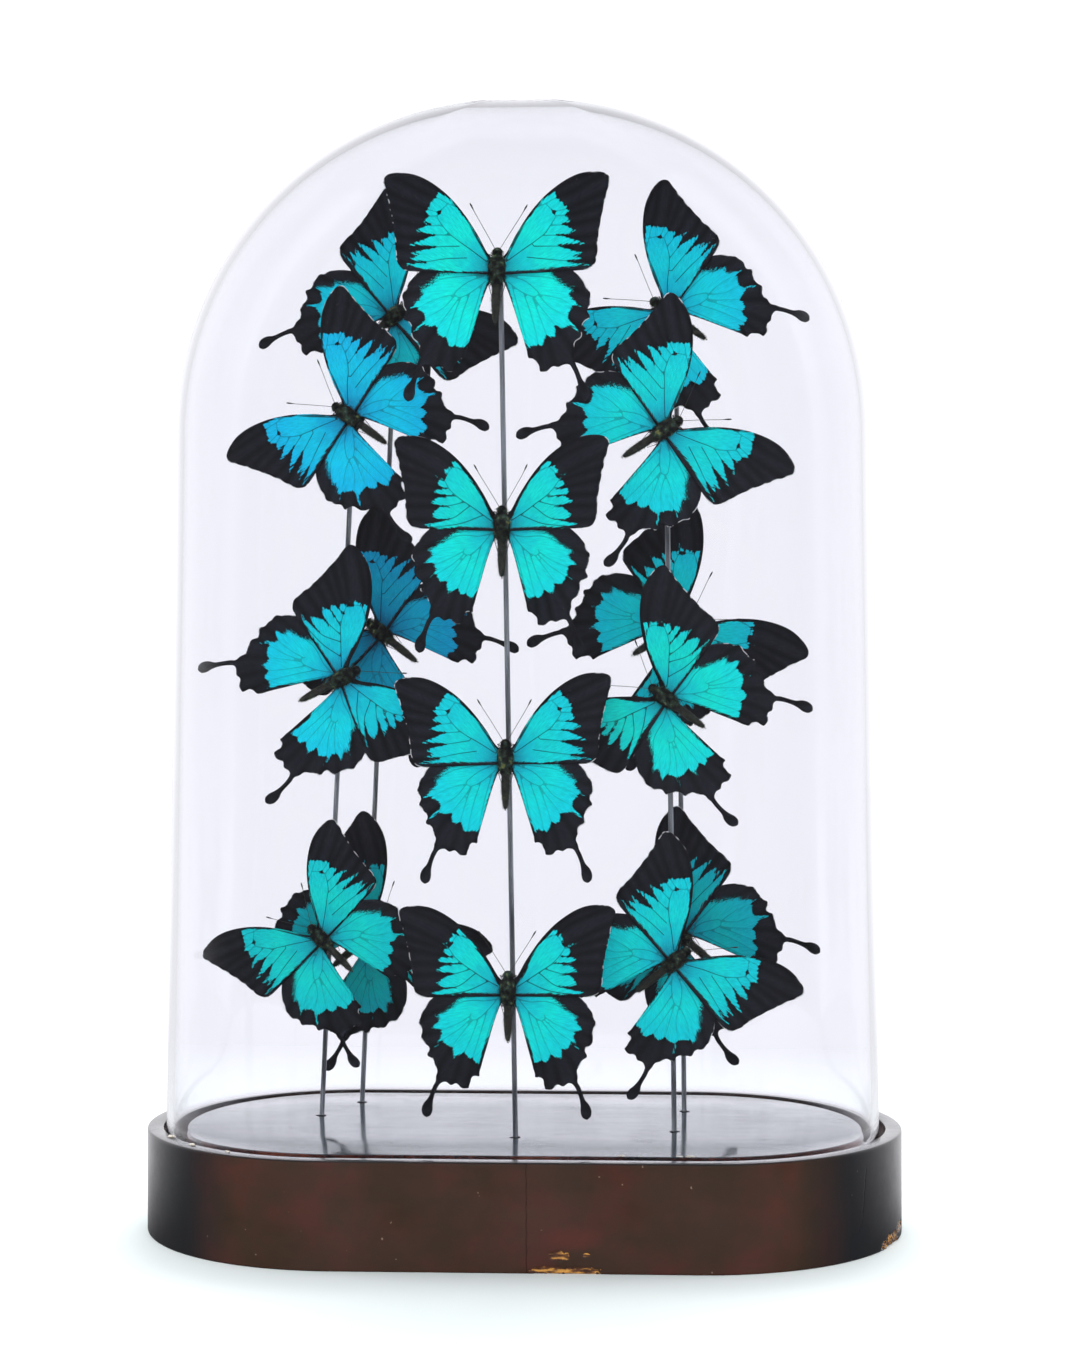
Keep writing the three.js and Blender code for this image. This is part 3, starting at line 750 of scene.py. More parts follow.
patterns = {
    "toothed": {
        "forePatch": [(2.6, 2.6), (4.9, 6.6), (9, 14.8), (13.6, 21.1), (17.2, 25.6), (21.7, 29.4),
                      (23.2, 30.4),
                      (25.1, 28.3), (27.2, 25.2), (29.7, 22.8), (28.5, 20.7), (29.6, 17.7), (27, 16.8),
                      (30.1, 16), (32.6, 14.3), (29.2, 13.4), (25, 12.7), (29.5, 11.2), (35.2, 9),
                      (30, 8.5), (24.8, 8.1), (29.6, 6.4), (34.4, 5.2), (31, 4.1), (34.9, 2.6), (28.6, 2.2),
                      (32.6, 1.5), (37, 0.5), (29.8, -0.4), (15.8, -0.6), (3, -0.9)],
        "hindPatch": [(2.6, -1.4), (11.1, -1.2), (19.6, -2.1), (22.3, -3.7), (25.8, -7.1), (30, -10.8),
                      (28.7, -12.2), (33.7, -17.8), (30.7, -17.3), (27.7, -20), (28.4, -22.7), (31.4, -27.1),
                      (27.8, -24.5), (24.6, -24.7), (22.4, -24.9), (21.3, -28.3), (18.7, -28.3),
                      (17.2, -29.1), (16.8, -31.9), (14.2, -32.3), (12.4, -31), (10, -32.7), (7.3, -22.6),
                      (5.4, -11.8), (3.2, -4.1)],
        "foreVeins": [
            [(2.5, 4), (5.5, 8.4), (11, 17), (17, 25), (24, 31.2), (31, 35), (38, 36.8)],
            [(3.4, 3.6), (9, 13), (14.8, 22.9), (20, 25.6), (25.6, 28.3), (30.3, 29.9), (43.4, 36.6)],
            [(20, 25.6), (22.3, 23.5), (23.4, 22)],
            [(4.1, 2.9), (11.2, 7.8), (16, 11), (19.8, 13.9), (22.1, 16.8), (24.1, 20.2), (23.4, 22)],
            [(23.4, 22), (26, 22.6), (29.3, 23.3), (45, 30)], [(24.1, 20.5), (28.5, 20.6), (43.8, 24.4)],
            [(22.1, 16.7), (27.7, 16.7), (32.9, 17.1), (42.6, 19)],
            [(18.8, 12.9), (26, 12.6), (33.7, 11.5), (41.6, 13)],
            [(15.2, 8.8), (25.3, 8.1), (34.6, 7.3), (40.8, 7.6)],
            [(12.1, 4.2), (20.5, 3.4), (29.4, 2.1), (40, 1.6)]],
        "hindVeins": [
            [(3.6, -2), (12, -3.4), (22, -5.6), (30, -10.4), (36.8, -13)],
            [(4.3, -5.1), (9.6, -9.8), (14.2, -12.3), (16.3, -11.3), (16, -10.1), (11, -5.5), (5, -3)],
            [(16.3, -11.3), (24.4, -13.9), (30.5, -17.4), (36, -20.6)],
            [(16.5, -12), (20.5, -17), (27.7, -22), (33, -27)],
            [(14.2, -12.3), (16.7, -16.5), (21.8, -23.9), (27.6, -33), (30, -41), (31.8, -50.5)],
            [(13.9, -12.8), (16, -19.7), (18.4, -29), (20.8, -40)],
            [(10.1, -10.1), (12.7, -19.4), (14.6, -31.4), (14.8, -41.4)],
            [(5.6, -6.6), (8.1, -19), (10.4, -32.2), (10.8, -36.6)]],
        "spot": (23.4, 22)},
    "lobed": {
        "forePatch": [(2.6, 1.6), (5.3, 4.8), (7.4, 9.4), (10, 14.6), (12.6, 18.8), (14.7, 21.9),
                      (17.3, 24.7),
                      (19.4, 26.6), (20.8, 26.9), (21.4, 25.8), (20.7, 24.8), (22.5, 25.1), (24, 23.3),
                      (23.2, 21.1), (24.5, 19.7), (25.6, 21), (28.8, 21.7), (26.1, 19.5), (26.9, 18.5),
                      (27.1, 17.2), (25.6, 15.9), (23.2, 15.5), (27.6, 15.4), (28.9, 13.9), (27.6, 12.6),
                      (19.9, 12.2), (26.6, 11.5), (30.5, 9.5), (27.6, 8.2), (22.5, 7.9), (25.6, 7.4),
                      (29.4, 4.6), (29.2, 3.6), (26.3, 2.5), (21.9, 2.5), (25.6, 1.7), (32.3, 0),
                      (27.6, -0.8), (17.3, -0.8), (3, -0.9)],
        "hindPatch": [(2.6, -1.4), (12.1, -1.4), (17.2, -2.5), (20.8, -4.9), (24.3, -7.8), (29.9, -11.8),
                      (28, -13.2), (31.5, -16.9), (29.7, -17.4), (27, -19.6), (28, -21.5), (30.3, -25.1),
                      (26.9, -22.5), (24.8, -24.4), (22.2, -25.2), (21.4, -29.2), (20.5, -28.3),
                      (17.4, -27.7), (15.5, -30), (12.4, -30.2), (10.2, -31.9), (8.2, -23.7), (6.2, -16),
                      (3.6, -7)],
        "foreVeins": [
            [(2.5, 4), (5.5, 8.4), (11, 17), (17, 25), (24, 31.2), (31, 35), (38, 36.8)],
            [(3.4, 3), (9, 13), (14.7, 21.9), (20.4, 24.5), (22.5, 23), (23.2, 21.5)],
            [(20.4, 24.5), (26.5, 29.2), (43.4, 36.6)],
            [(4.3, 2.2), (10, 5.9), (16.2, 10.1), (19.4, 12.4), (22.5, 15.6), (24.8, 19.5), (23.2, 21.5)],
            [(23.2, 21.5), (25.6, 20.2), (29.7, 22.8), (45, 30)], [(24.4, 18.6), (30, 19.8), (43.8, 24.4)],
            [(23.2, 15.5), (27.6, 15.9), (42.6, 19)], [(19.4, 12.3), (27.6, 12.4), (41.6, 13)],
            [(16.2, 9.8), (22.5, 8.1), (27.6, 7.9), (40.8, 7.6)], [(13.7, 8), (21.9, 2.6), (40, 1.6)],
            [(8.5, 4.3), (17.3, 0.8), (30, -1.2)]],
        "hindVeins": [
            [(4.2, -3.1), (8.2, -8.3), (11.7, -11.9), (14.3, -12.9), (15.9, -11.8), (15.4, -10.5)],
            [(4.2, -3.3), (9.4, -4.7), (17.2, -4.8), (24.3, -7.8), (36.8, -13)],
            [(15.9, -11.5), (19.4, -13.9), (25, -16.8), (36, -20.6)],
            [(15.2, -12.4), (20.5, -17.6), (27, -22), (33, -27)],
            [(14.3, -12.9), (20.2, -21.1), (24.4, -28), (27.6, -33.6), (30, -41), (31.8, -50.5)],
            [(11.7, -11.9), (15, -21.3), (18.4, -30), (20.8, -40)],
            [(8.2, -8.3), (11, -18.6), (13.6, -30.2), (14.8, -41.4)],
            [(4.1, -6.2), (7.4, -17.5), (10.3, -31.5), (10.8, -36.6)]],
        "spot": (24.4, 20.6)},
}
# rod and place on it from the top: x and z of the thorax, turn in degrees, size, raise of the fore and of
# the hind wings (left, right), pattern, tone (0 green turquoise, 1 deep blue; partly the insect's own hue,
# partly a painted sheen of its structural colour) and shade (how bright it is: a painted shade for the
# light each insect stands in)
butterflies = {
    "center_1": (-9, 406, -2, 1.03, (-1, 3), (2, 6), "toothed", 0.0, 0.99),
    "center_2": (-7, 299.5, 0, 0.98, (1, 1), (3, 1), "lobed", 0.05, 0.94),
    "center_3": (-5.5, 202.5, 0, 0.96, (-3, 0), (3, 4), "toothed", 0.2, 0.95),
    "center_4": (-4.5, 106, 0, 0.97, (-1, 0), (3, 2), "lobed", 0.1, 0.99),
    "left_front_1": (-77, 351, 54, 0.97, (-4, 1), (-3, 0), "toothed", 0.75, 0.94),
    "left_front_2": (-79.5, 236.5, -62, 1, (-6, -8), (1, 0), "lobed", 0.42, 0.95),
    "left_front_3": (-89, 122.5, 44, 0.91, (-2, 2), (-3, 0), "toothed", 0.1, 0.87),
    "left_back_1": (-59, 398, -51, 0.98, (-2, 0), (-4, -1), "toothed", 0.45, 0.93),
    "left_back_2": (-66, 257, 51, 0.98, (3, 2), (4, 1), "toothed", 0.9, 0.68),
    "left_back_3": (-72, 120, -50, 0.98, (0, 7), (0, 2), "lobed", 0.3, 0.68),
    "right_front_1": (61, 341, -57, 0.98, (-3, 0), (0, 3), "toothed", 0.2, 0.88),
    "right_front_2": (61, 228, 53, 0.96, (-5, 0), (-7, 2), "lobed", 0.0, 0.87),
    "right_front_3": (65, 117, -51, 0.95, (-3, 0), (-2, 2), "toothed", 0.2, 0.92),
    "right_back_1": (62, 398, 54, 0.99, (0, -2), (2, 2), "toothed", 0.45, 0.94),
    "right_back_2": (66, 258.5, -58, 1.03, (-4, 9), (-5, 9), "lobed", 0.4, 0.88),
    "right_back_3": (67.5, 123.5, 50, 0.98, (0, 3), (-5, 3), "toothed", 0.35, 0.68),
}
# distances and positions on the wing that its scales are coloured by
wingFields = ("toBlue", "toVein", "toEdge", "toSpot", "reach", "fray", "fore", "margin")


def softLine(points, step, closed, corner=58):
    # a smooth line through the points, with sharp corners kept where the turn is strong
    points = np.asarray(points, float)
    count = len(points)
    before, after = np.roll(points, 1, axis=0), np.roll(points, -1, axis=0)
    into, out = points - before, after - points
    turn = np.abs((np.degrees(np.arctan2(out[:, 1], out[:, 0]) - np.arctan2(into[:, 1], into[:, 0])) + 180)
                  % 360 - 180)
    slope = (after - before) / 2
    slope[turn > corner] = 0
    if not closed:
        slope[0], slope[-1] = out[0], into[-1]
    line = []
    for i in range(count if closed else count - 1):
        p, q = points[i], points[(i + 1) % count]
        length = np.linalg.norm(q - p)
        reach = [way * min(1.0, length / max(np.linalg.norm(way), 1e-9))
                 for way in (slope[i], slope[(i + 1) % count])]
        t = np.linspace(0, 1, max(2, round(length / step) + 1), endpoint=False)[:, None]
        line.append((2 * t**3 - 3 * t**2 + 1) * p + (t**3 - 2 * t**2 + t) * reach[0]
                    + (3 * t**2 - 2 * t**3) * q + (t**3 - t**2) * reach[1])
    if not closed:
        line.append(points[-1:])
    return np.vstack(line)


def distanceTo(points, line, closed):
    ends = np.roll(line, -1, axis=0) if closed else line[1:]
    starts = line if closed else line[:-1]
    span = ends - starts
    size = np.maximum((span**2).sum(1), 1e-12)
    share = np.clip(((points[:, None] - starts) * span).sum(2) / size, 0, 1)
    return np.sqrt((((points[:, None] - starts) - share[..., None] * span)**2).sum(2)).min(1)


def isInside(points, line):
    x, y = points[:, 0][:, None], points[:, 1][:, None]
    ends = np.roll(line, -1, axis=0)
    crosses = (line[:, 1] > y) != (ends[:, 1] > y)
    with np.errstate(divide="ignore", invalid="ignore"):
        at = line[:, 0] + (y - line[:, 1]) * (ends[:, 0] - line[:, 0]) / (ends[:, 1] - line[:, 1])
    return (crosses & (x < at)).sum(1) % 2 == 1


def wingEdge(outline, random):
    # the outline, with shallow bays between the veins along the outer margin
    edge = softLine(outline, wing["step"], True)
    run = np.r_[0, np.cumsum(np.linalg.norm(np.diff(edge, axis=0), axis=1))]
    way = np.roll(edge, -1, axis=0) - np.roll(edge, 1, axis=0)
    way /= np.linalg.norm(way, axis=1)[:, None] + 1e-9
    across = np.c_[way[:, 1], -way[:, 0]]
    inward = across if isInside(edge[:1] + across[:1] * 0.3, edge)[0] else -across
    isHind = edge[:, 1].min() < -30
    wave = 0.5 - 0.5 * np.cos(run * 2 * math.pi / wing["scallopLength"] + random.uniform(0, 6))
    outer = np.clip((np.hypot(edge[:, 0], edge[:, 1]) - wing["scallopFrom"]) / 6, 0, 1)
    tail = np.clip((edge[:, 1] + 42) / 3, 0, 1)
    front = np.clip((np.arctan2(edge[:, 0], edge[:, 1]) - 0.85) / 0.1, 0, 1)
    bay = wing["scallop"] * (1 if isHind else 0.35) * wave * outer * tail * front
    return edge + inward * bay[:, None]


def wingSheet(outline, patch, veins, spot, random):
    # a flat mesh whose own lines follow the outline, the blue patch and the veins, with its distances to them
    step = wing["step"]
    edge = wingEdge(outline, random)
    blue = np.asarray(patch, float)
    blue = blue + random.normal(0, 0.38, blue.shape) * (blue[:, :1] > 6)
    blue = softLine(blue, step * 0.9, True, corner=25)
    lines = [softLine(np.asarray(vein, float) + random.normal(0, 0.1, (len(vein), 2)), step, False)
             for vein in veins]
    points, edges = [edge], [(i, (i + 1) % len(edge)) for i in range(len(edge))]
    total = len(edge)
    for line, closed in [(blue, True)] + [(line, False) for line in lines]:
        count = len(line)
        inside = isInside(line, edge) & (distanceTo(line, edge, True) > 0.25)
        edges += [(total + i, total + (i + 1) % count) for i in range(count if closed else count - 1)
                  if inside[i] and inside[(i + 1) % count]]
        points.append(np.where(inside[:, None], line, edge[0]))
        total += count
    fixed = np.vstack(points)
    low, high = edge.min(0), edge.max(0)
    heights = np.arange(low[1], high[1], step * 0.87)
    rows = [(np.arange(low[0] + (i % 2) * step / 2, high[0], step), z) for i, z in enumerate(heights)]
    grid = np.vstack([np.c_[row, np.full(len(row), z)] for row, z in rows])
    grid = grid[isInside(grid, edge)]
    near = np.sqrt(((grid[:, None] - fixed[None])**2).sum(2)).min(1)
    cloud = np.vstack([fixed, grid[near > step * 0.55]])
    found = delaunay_2d_cdt([Vector(p) for p in cloud.tolist()], edges, [], 1, 1e-5, False)
    met, triangles = np.array([tuple(p) for p in found[0]]), np.array(found[2])
    used, faces = np.unique(triangles, return_inverse=True)
    flat = met[used]
    return {"flat": flat, "faces": faces.reshape(-1, 3),
            "toBlue": distanceTo(flat, blue, True) * np.where(isInside(flat, blue), 1, -1),
            "toVein": np.minimum.reduce([distanceTo(flat, line, False) for line in lines]),
            "toEdge": distanceTo(flat, edge, True), "toSpot": np.hypot(*(flat - spot).T)}


def wingSolid(sheet, side, root, raised, depth, random):
    # both faces of one wing, joined along the edge; side is 1 for the right wing, -1 for the left
    flat, faces, toVein, toEdge = (sheet[key] for key in ("flat", "faces", "toVein", "toEdge"))
    isFore = depth < 0
    turn = math.radians(raised)
    across, up = (flat - root).T
    x = root[0] + across * math.cos(turn) - up * math.sin(turn)
    z = root[1] + across * math.sin(turn) + up * math.cos(turn)
    reach = np.hypot(*flat.T)
    out = np.clip(reach / wing["fullSpan"], 0, 1.3)
    phase = random.uniform(0, 2 * math.pi, 4)
    y = depth - wing["camber"] * np.sin(np.clip(out, 0, 1) * math.pi) * 0.6
    y += wing["ripple"] * out * (np.sin(flat[:, 0] / 4.1 + phase[0]) + np.sin(flat[:, 1] / 5.3 + phase[1])
                                 + np.sin((flat[:, 0] + flat[:, 1]) / 8.7 + phase[2]))
    y += wing["veinLift"] * (1 - np.exp(-toVein / 1.1)) * np.clip(toEdge / 2, 0, 1)
    y -= np.abs(x) * math.tan(math.radians(wing["rise"]))
    onEdge = toEdge < 0.05
    half = wing["thickness"] / 2 * np.clip(toEdge / 0.7, 0, 1) + 0.05 * np.exp(-toVein / 0.35)
    half[onEdge] = 0
    count = len(flat)
    behind = np.where(onEdge, np.arange(count), np.cumsum(~onEdge) - 1 + count)
    points = np.vstack([np.c_[side * x, y - half, z], np.c_[side * x, y + half, z][~onEdge]])
    kept = faces[~np.all(onEdge[faces], axis=1)]
    doubled = np.vstack([kept[:, ::side], behind[kept][:, ::-side]])
    kinds = np.repeat((skins["upper"], skins["under"]), len(kept))
    ray = np.degrees(np.arctan2(flat[:, 1] + 6, flat[:, 0] + 3)) * 0.45
    # white fringe scales grow on the outer margin only, not on the tail
    margin = np.clip((reach - 32) / 4, 0, 1) * np.clip((flat[:, 1] + 42.5) / 1.5, 0, 1)
    fray = np.clip(1 + (flat[:, 1] + 0.36 * flat[:, 0]) / 5, 0, 1)
    fields = {"toBlue": sheet["toBlue"], "toVein": toVein, "toEdge": toEdge, "toSpot": sheet["toSpot"],
              "place": np.c_[flat + random.uniform(0, 40), ray], "reach": reach,
              "fray": fray * (not isFore), "fore": np.full(count, float(isFore)),
              "margin": margin * (isFore | (reach <= 45.5))}
    fields = {key: np.concatenate([values, values[~onEdge]]) for key, values in fields.items()}
    return points, doubled, kinds, fields


tones = {
    "green": [(0.1, "#00A0BE"), (0.4, "#00CCD2"), (0.7, "#00EEDA"), (1.0, "#00E4E0")],
    "blue": [(0.12, "#007CC8"), (0.42, "#00A4DC"), (0.7, "#00C2F2"), (1.0, "#00B4F0")],
}


def wingUpper(name):
    # scaled wing membrane: velvet black scales, and bright structural blue scales laid like tiles
    material, tree, shader = newMaterial(name)
    setInputs(shader, {"Roughness": 0.6, "Specular IOR Level": 0.12})
    toBlue, toVein, toEdge, toSpot, reach, fray, fore, margin, tone, shade = [
        addNode(tree, "Attribute", {"attribute_name": key}).outputs["Fac"]
        for key in wingFields + ("tone", "shade")]
    place = addNode(tree, "Attribute", {"attribute_name": "place"}).outputs["Vector"]
    # scales are 0.1 mm wide in life, drawn about 0.45 mm so that they show
    scales = addNode(tree, "TexNoise", {
        "Scale": 2.2, "Detail": 3, "Roughness": 0.65, "Vector": place})
    apart = addNode(tree, "SeparateXYZ", {0: place})
    along = addNode(tree, "Math", {"operation": "MULTIPLY", 1: 0.12, 0: reach})
    fan = addNode(tree, "CombineXYZ", {0: apart.outputs["Z"], 1: along})
    streaks = addNode(tree, "TexNoise", {"Scale": 2.4, "Detail": 3, "Vector": fan})
    cloud = addNode(tree, "TexNoise", {"Scale": 0.22, "Detail": 2, "Vector": place})
    # black part: paler between the veins, a painted light on the pleats of the membrane, broken by the
    # streaks
    pleatLight = addNode(tree, "MapRange", {
        "From Max": 2.0, "To Min": 0.0, "To Max": 0.9, "Value": toVein})
    dull = addNode(tree, "Math", {"operation": "MULTIPLY", 0: pleatLight, 1: streaks})
    black = addNode(tree, "ValToRGB", {
        "stops": [(0.0, "#16171C"), (0.3, "#1C1D24"), (0.6, "#24262E")], "Fac": dull})
    # blue part: bluer at the root and at the tips of the teeth
    out = addNode(tree, "Math", {"operation": "MULTIPLY", 1: 0.026, 0: reach})
    shifted = addNode(tree, "Math", {"operation": "MULTIPLY_ADD", 1: 0.35, 0: cloud, 2: out})
    greenSide = addNode(tree, "ValToRGB", {"stops": tones["green"], "Fac": shifted})
    blueSide = addNode(tree, "ValToRGB", {"stops": tones["blue"], "Fac": shifted})
    # tone moves each insect between green and blue: partly its own hue, partly a painted sheen of its
    # structural colour as it shows from where the insect is seen
    blue = addNode(tree, "Mix", {"data_type": "RGBA", 0: tone, 6: greenSide, 7: blueSide})
    shine = addNode(tree, "MapRange", {
        "From Min": 0.25, "From Max": 0.75, "To Min": 0.9, "To Max": 1.1, "Value": scales})
    # fine dark streaks fan out with the hairs of the membrane
    combed = addNode(tree, "MapRange", {
        "From Min": 0.3, "From Max": 0.62, "To Min": 0.8, "To Max": 1.08, "Value": streaks})
    worn = addNode(tree, "Math", {"operation": "MULTIPLY", 0: shine, 1: combed})
    # the fore wing's scales are a little darker than the hind wing's
    wingShade = addNode(tree, "MapRange", {
        "To Min": 1.0, "To Max": 0.93, "Value": fore})
    # shade darkens each insect's blue: a painted shade
    wingAndPaintedShade = addNode(tree, "Math", {"operation": "MULTIPLY", 0: wingShade, 1: shade})
    dimmed = addNode(tree, "Math", {"operation": "MULTIPLY", 0: worn, 1: wingAndPaintedShade})
    bright = addNode(tree, "VectorMath", {"operation": "SCALE", 0: blue, "Scale": dimmed})
    # veins stay bare and dark
    line = addNode(tree, "MapRange", {
        "From Min": 0.08, "From Max": 0.3, "To Min": 0.9, "To Max": 0.0, "Value": toVein})
    fading = addNode(tree, "MapRange", {
        "From Min": 16, "From Max": 32, "To Min": 1.0, "To Max": 0.5, "Value": reach})
    veinDepth = addNode(tree, "MapRange", {
        "To Min": 0.55, "To Max": 1.0, "Value": fore})
    inked = addNode(tree, "Math", {"operation": "MULTIPLY", 0: fading, 1: veinDepth})
    drawn = addNode(tree, "Math", {"operation": "MULTIPLY", 0: line, 1: inked})
    veined = addNode(tree, "Mix", {"data_type": "RGBA", 7: "#06262C", 0: drawn, 6: bright})
    # dark green dusting at the root, where the body's fur runs on to the wing
    root = addNode(tree, "MapRange", {
        "From Min": 2.5, "From Max": 10, "To Min": 0.75, "To Max": 0.0, "Value": reach})
    grains = addNode(tree, "MapRange", {"From Min": 0.42, "From Max": 0.56, "Value": scales})
    dusting = addNode(tree, "Math", {"operation": "MULTIPLY", 0: root, 1: grains})
    furred = addNode(tree, "Mix", {"data_type": "RGBA", 7: "#10332B", 0: dusting, 6: veined})
    # the blue frays into single scales at its edge, more so along the front of the hind wing
    amount = addNode(tree, "MapRange", {"To Min": 1.2, "To Max": 8.0, "Value": fray})
    loose = addNode(tree, "Math", {"operation": "SUBTRACT", 1: 0.5, 0: scales})
    spread = addNode(tree, "Math", {"operation": "MULTIPLY", 0: loose, 1: amount})
    # and its rows of scales end unevenly, in fine points that follow the veins
    comb = addNode(tree, "Math", {"operation": "MULTIPLY_ADD", 1: 2.4, 2: -1.2, 0: streaks})
    rough = addNode(tree, "Math", {"operation": "ADD", 0: spread, 1: comb})
    edge = addNode(tree, "Math", {"operation": "ADD", 0: toBlue, 1: rough})
    # black runs in along the veins, so the blue ends in teeth
    spike = addNode(tree, "MapRange", {
        "From Min": 0.05, "From Max": 1.0, "To Min": 0.55, "To Max": 0.0, "Value": toVein})
    far = addNode(tree, "MapRange", {"From Min": 21, "From Max": 28, "Value": reach})
    spiked = addNode(tree, "Math", {"operation": "MULTIPLY", 0: spike, 1: far})
    toothed = addNode(tree, "Math", {"operation": "SUBTRACT", 0: edge, 1: spiked})
    # a small black star where the veins close the cell
    starred = addNode(tree, "Math", {
        "operation": "MULTIPLY_ADD", 1: 1.1, 0: toVein, 2: toSpot})
    wobble = addNode(tree, "Math", {"operation": "MULTIPLY_ADD", 1: 2.5, 0: scales, 2: starred})
    star = addNode(tree, "Math", {"operation": "SUBTRACT", 1: 2.7, 0: wobble})
    kept = addNode(tree, "Math", {"operation": "MINIMUM", 0: toothed, 1: star})
    mask = addNode(tree, "MapRange", {"From Min": -0.1, "From Max": 0.14, "Value": kept})
    painted = addNode(tree, "Mix", {"data_type": "RGBA", 0: mask, 6: black, 7: furred})
    # white fringe scales in the bays of the margin
    rim = addNode(tree, "MapRange", {
        "From Min": 0.22, "From Max": 0.4, "To Min": 1.0, "To Max": 0.0, "Value": toEdge})
    bays = addNode(tree, "MapRange", {"From Min": 0.9, "From Max": 1.3, "Value": toVein})
    fringe = addNode(tree, "Math", {"operation": "MULTIPLY", 0: rim, 1: bays})
    broken = addNode(tree, "MapRange", {"From Min": 0.47, "From Max": 0.53, "Value": cloud})
    fringed = addNode(tree, "Math", {"operation": "MULTIPLY", 0: fringe, 1: margin})
    shown = addNode(tree, "Math", {"operation": "MULTIPLY", 0: fringed, 1: broken})
    edged = addNode(tree, "Mix", {"data_type": "RGBA", 7: "#E4E6E8", 0: shown, 6: painted})
    bump = addNode(tree, "Bump", {"Strength": 0.25, "Distance": 0.00008, "Height": scales})
    setInputs(shader, {"Base Color": edged, "Normal": bump})
    return material


def wingUnder():
    # underside scales: dull brown, paler towards the edge, with darker veins
    material, tree, shader = newMaterial("brown_underside_scales")
    setInputs(shader, {"Roughness": 0.7, "Specular IOR Level": 0.2, "Sheen Weight": 0.1})
    toEdge, toVein, reach = [addNode(tree, "Attribute", {"attribute_name": key}).outputs["Fac"]
                             for key in ("toEdge", "toVein", "reach")]
    place = addNode(tree, "Attribute", {"attribute_name": "place"}).outputs["Vector"]
    scales = addNode(tree, "TexNoise", {"Scale": 1.8, "Detail": 4, "Vector": place})
    wander = addNode(tree, "Math", {"operation": "MULTIPLY_ADD", 1: 3.0, 0: scales, 2: toEdge})
    band = addNode(tree, "Math", {"operation": "MULTIPLY", 1: 0.06, 0: wander})
    colour = addNode(tree, "ValToRGB", {
        "stops": [(0.0, "#1E1815"), (0.2, "#2A211C"), (0.33, "#7C6A55"), (0.45, "#94826A"),
                  (0.58, "#3B2E26"), (1.0, "#2C211B")], "Fac": band})
    outer = addNode(tree, "MapRange", {
        "From Min": 19, "From Max": 31, "To Min": 0.1, "Value": reach})
    dull = addNode(tree, "ValToRGB", {"stops": [(0.35, "#241B16"), (0.65, "#40332A")], "Fac": scales})
    banded = addNode(tree, "Mix", {"data_type": "RGBA", 0: outer, 6: dull, 7: colour})
    line = addNode(tree, "MapRange", {
        "From Min": 0.1, "From Max": 0.4, "To Min": 0.8, "To Max": 0.0, "Value": toVein})
    veined = addNode(tree, "Mix", {"data_type": "RGBA", 7: "#17120F", 0: line, 6: banded})
    bump = addNode(tree, "Bump", {"Strength": 0.25, "Distance": 0.00008, "Height": scales})
    setInputs(shader, {"Base Color": veined, "Normal": bump})
    return material


insect = {
    "thoraxGreen": "#2F4A44", "bodyDark": "#14171A", "abdomen": "#3A3C33",
    "hairWidth": 0.13, "feelerRadius": 0.12, "clubRadius": 0.34, "pinRadius": 0.4,
    "waist": -6, "flatness": 0.9, "abdomenJoint": 2.4, "sides": 18,
    # fur of thorax and abdomen: how many hairs, from and to which z, and how long
    "fur": [(1500, -6, 8, 2.1), (500, -22, -6, 1.155)],
    "eye": [(0, -0.75), (0.5, -0.6), (0.8, 0), (0.5, 0.6), (0, 0.75)], "eyePlace": (1.35, -0.3, 7.3),
    "feeler": [(0.8, 7.8), (3.3, 12), (6.5, 17.2), (9.4, 21.8), (11.9, 26.1)],
    # legs: z where it starts, x and z of the knee, z of the foot
    "legs": [(4.2, 3.6, 6.5, 3.0), (1.2, 4.2, 2.2, -4.5), (-1.8, 4.0, -3.2, -10.5)],
}
skins = {"upper": 0, "under": 1, "fur": 2, "abdomen": 3, "chitin": 4, "pin": 5}
bodyProfile = [(0.0, -21.6), (0.7, -21.1), (1.2, -19.6), (1.6, -16.5), (1.85, -11.5), (1.75, -7.4),
               (2.5, -4.8), (3.5, -1.4), (3.7, 1.6), (3.0, 4.4), (1.7, 5.7), (1.9, 6.6), (1.95, 7.4),
               (1.3, 8.5), (0.0, 8.9)]


def roundForm(profile, sides, joint=0):
    # a slightly flat turned form along z; joint is the length of the abdomen's segments
    turn = np.linspace(0, 2 * math.pi, sides, endpoint=False)
    points = []
    for radius, z in softLine(profile, 0.5, False, corner=80):
        if joint and z < insect["waist"]:
            wave = 0.5 + 0.5 * math.cos((z - insect["waist"]) * 2 * math.pi / joint)
            radius = radius * (1 - 0.06 * wave ** 4)
        radius = max(radius, 0.001)
        points.append(np.c_[radius * np.cos(turn), radius * insect["flatness"] * np.sin(turn),
                            np.full(sides, z)])
    return np.vstack(points), tubeFaces(len(points), sides)


def hairs(roots, ways, lengths, random):
    # each hair is a closed three-sided spike
    count = len(roots)
    ways = ways / np.linalg.norm(ways, axis=1)[:, None]
    side = np.cross(ways, random.normal(size=(count, 3)))
    side /= np.linalg.norm(side, axis=1)[:, None]
    other = np.cross(ways, side)
    foot = [roots + insect["hairWidth"] / 2 * (math.cos(a) * side + math.sin(a) * other)
            for a in (0, 2.094, 4.189)]
    tip = roots + ways * lengths[:, None]
    points = np.stack(foot + [tip], axis=1).reshape(-1, 3)
    first = np.arange(count)[:, None] * 4
    return points, np.vstack([first + np.array(f) for f in ((0, 1, 3), (1, 2, 3), (2, 0, 3), (2, 1, 0))])


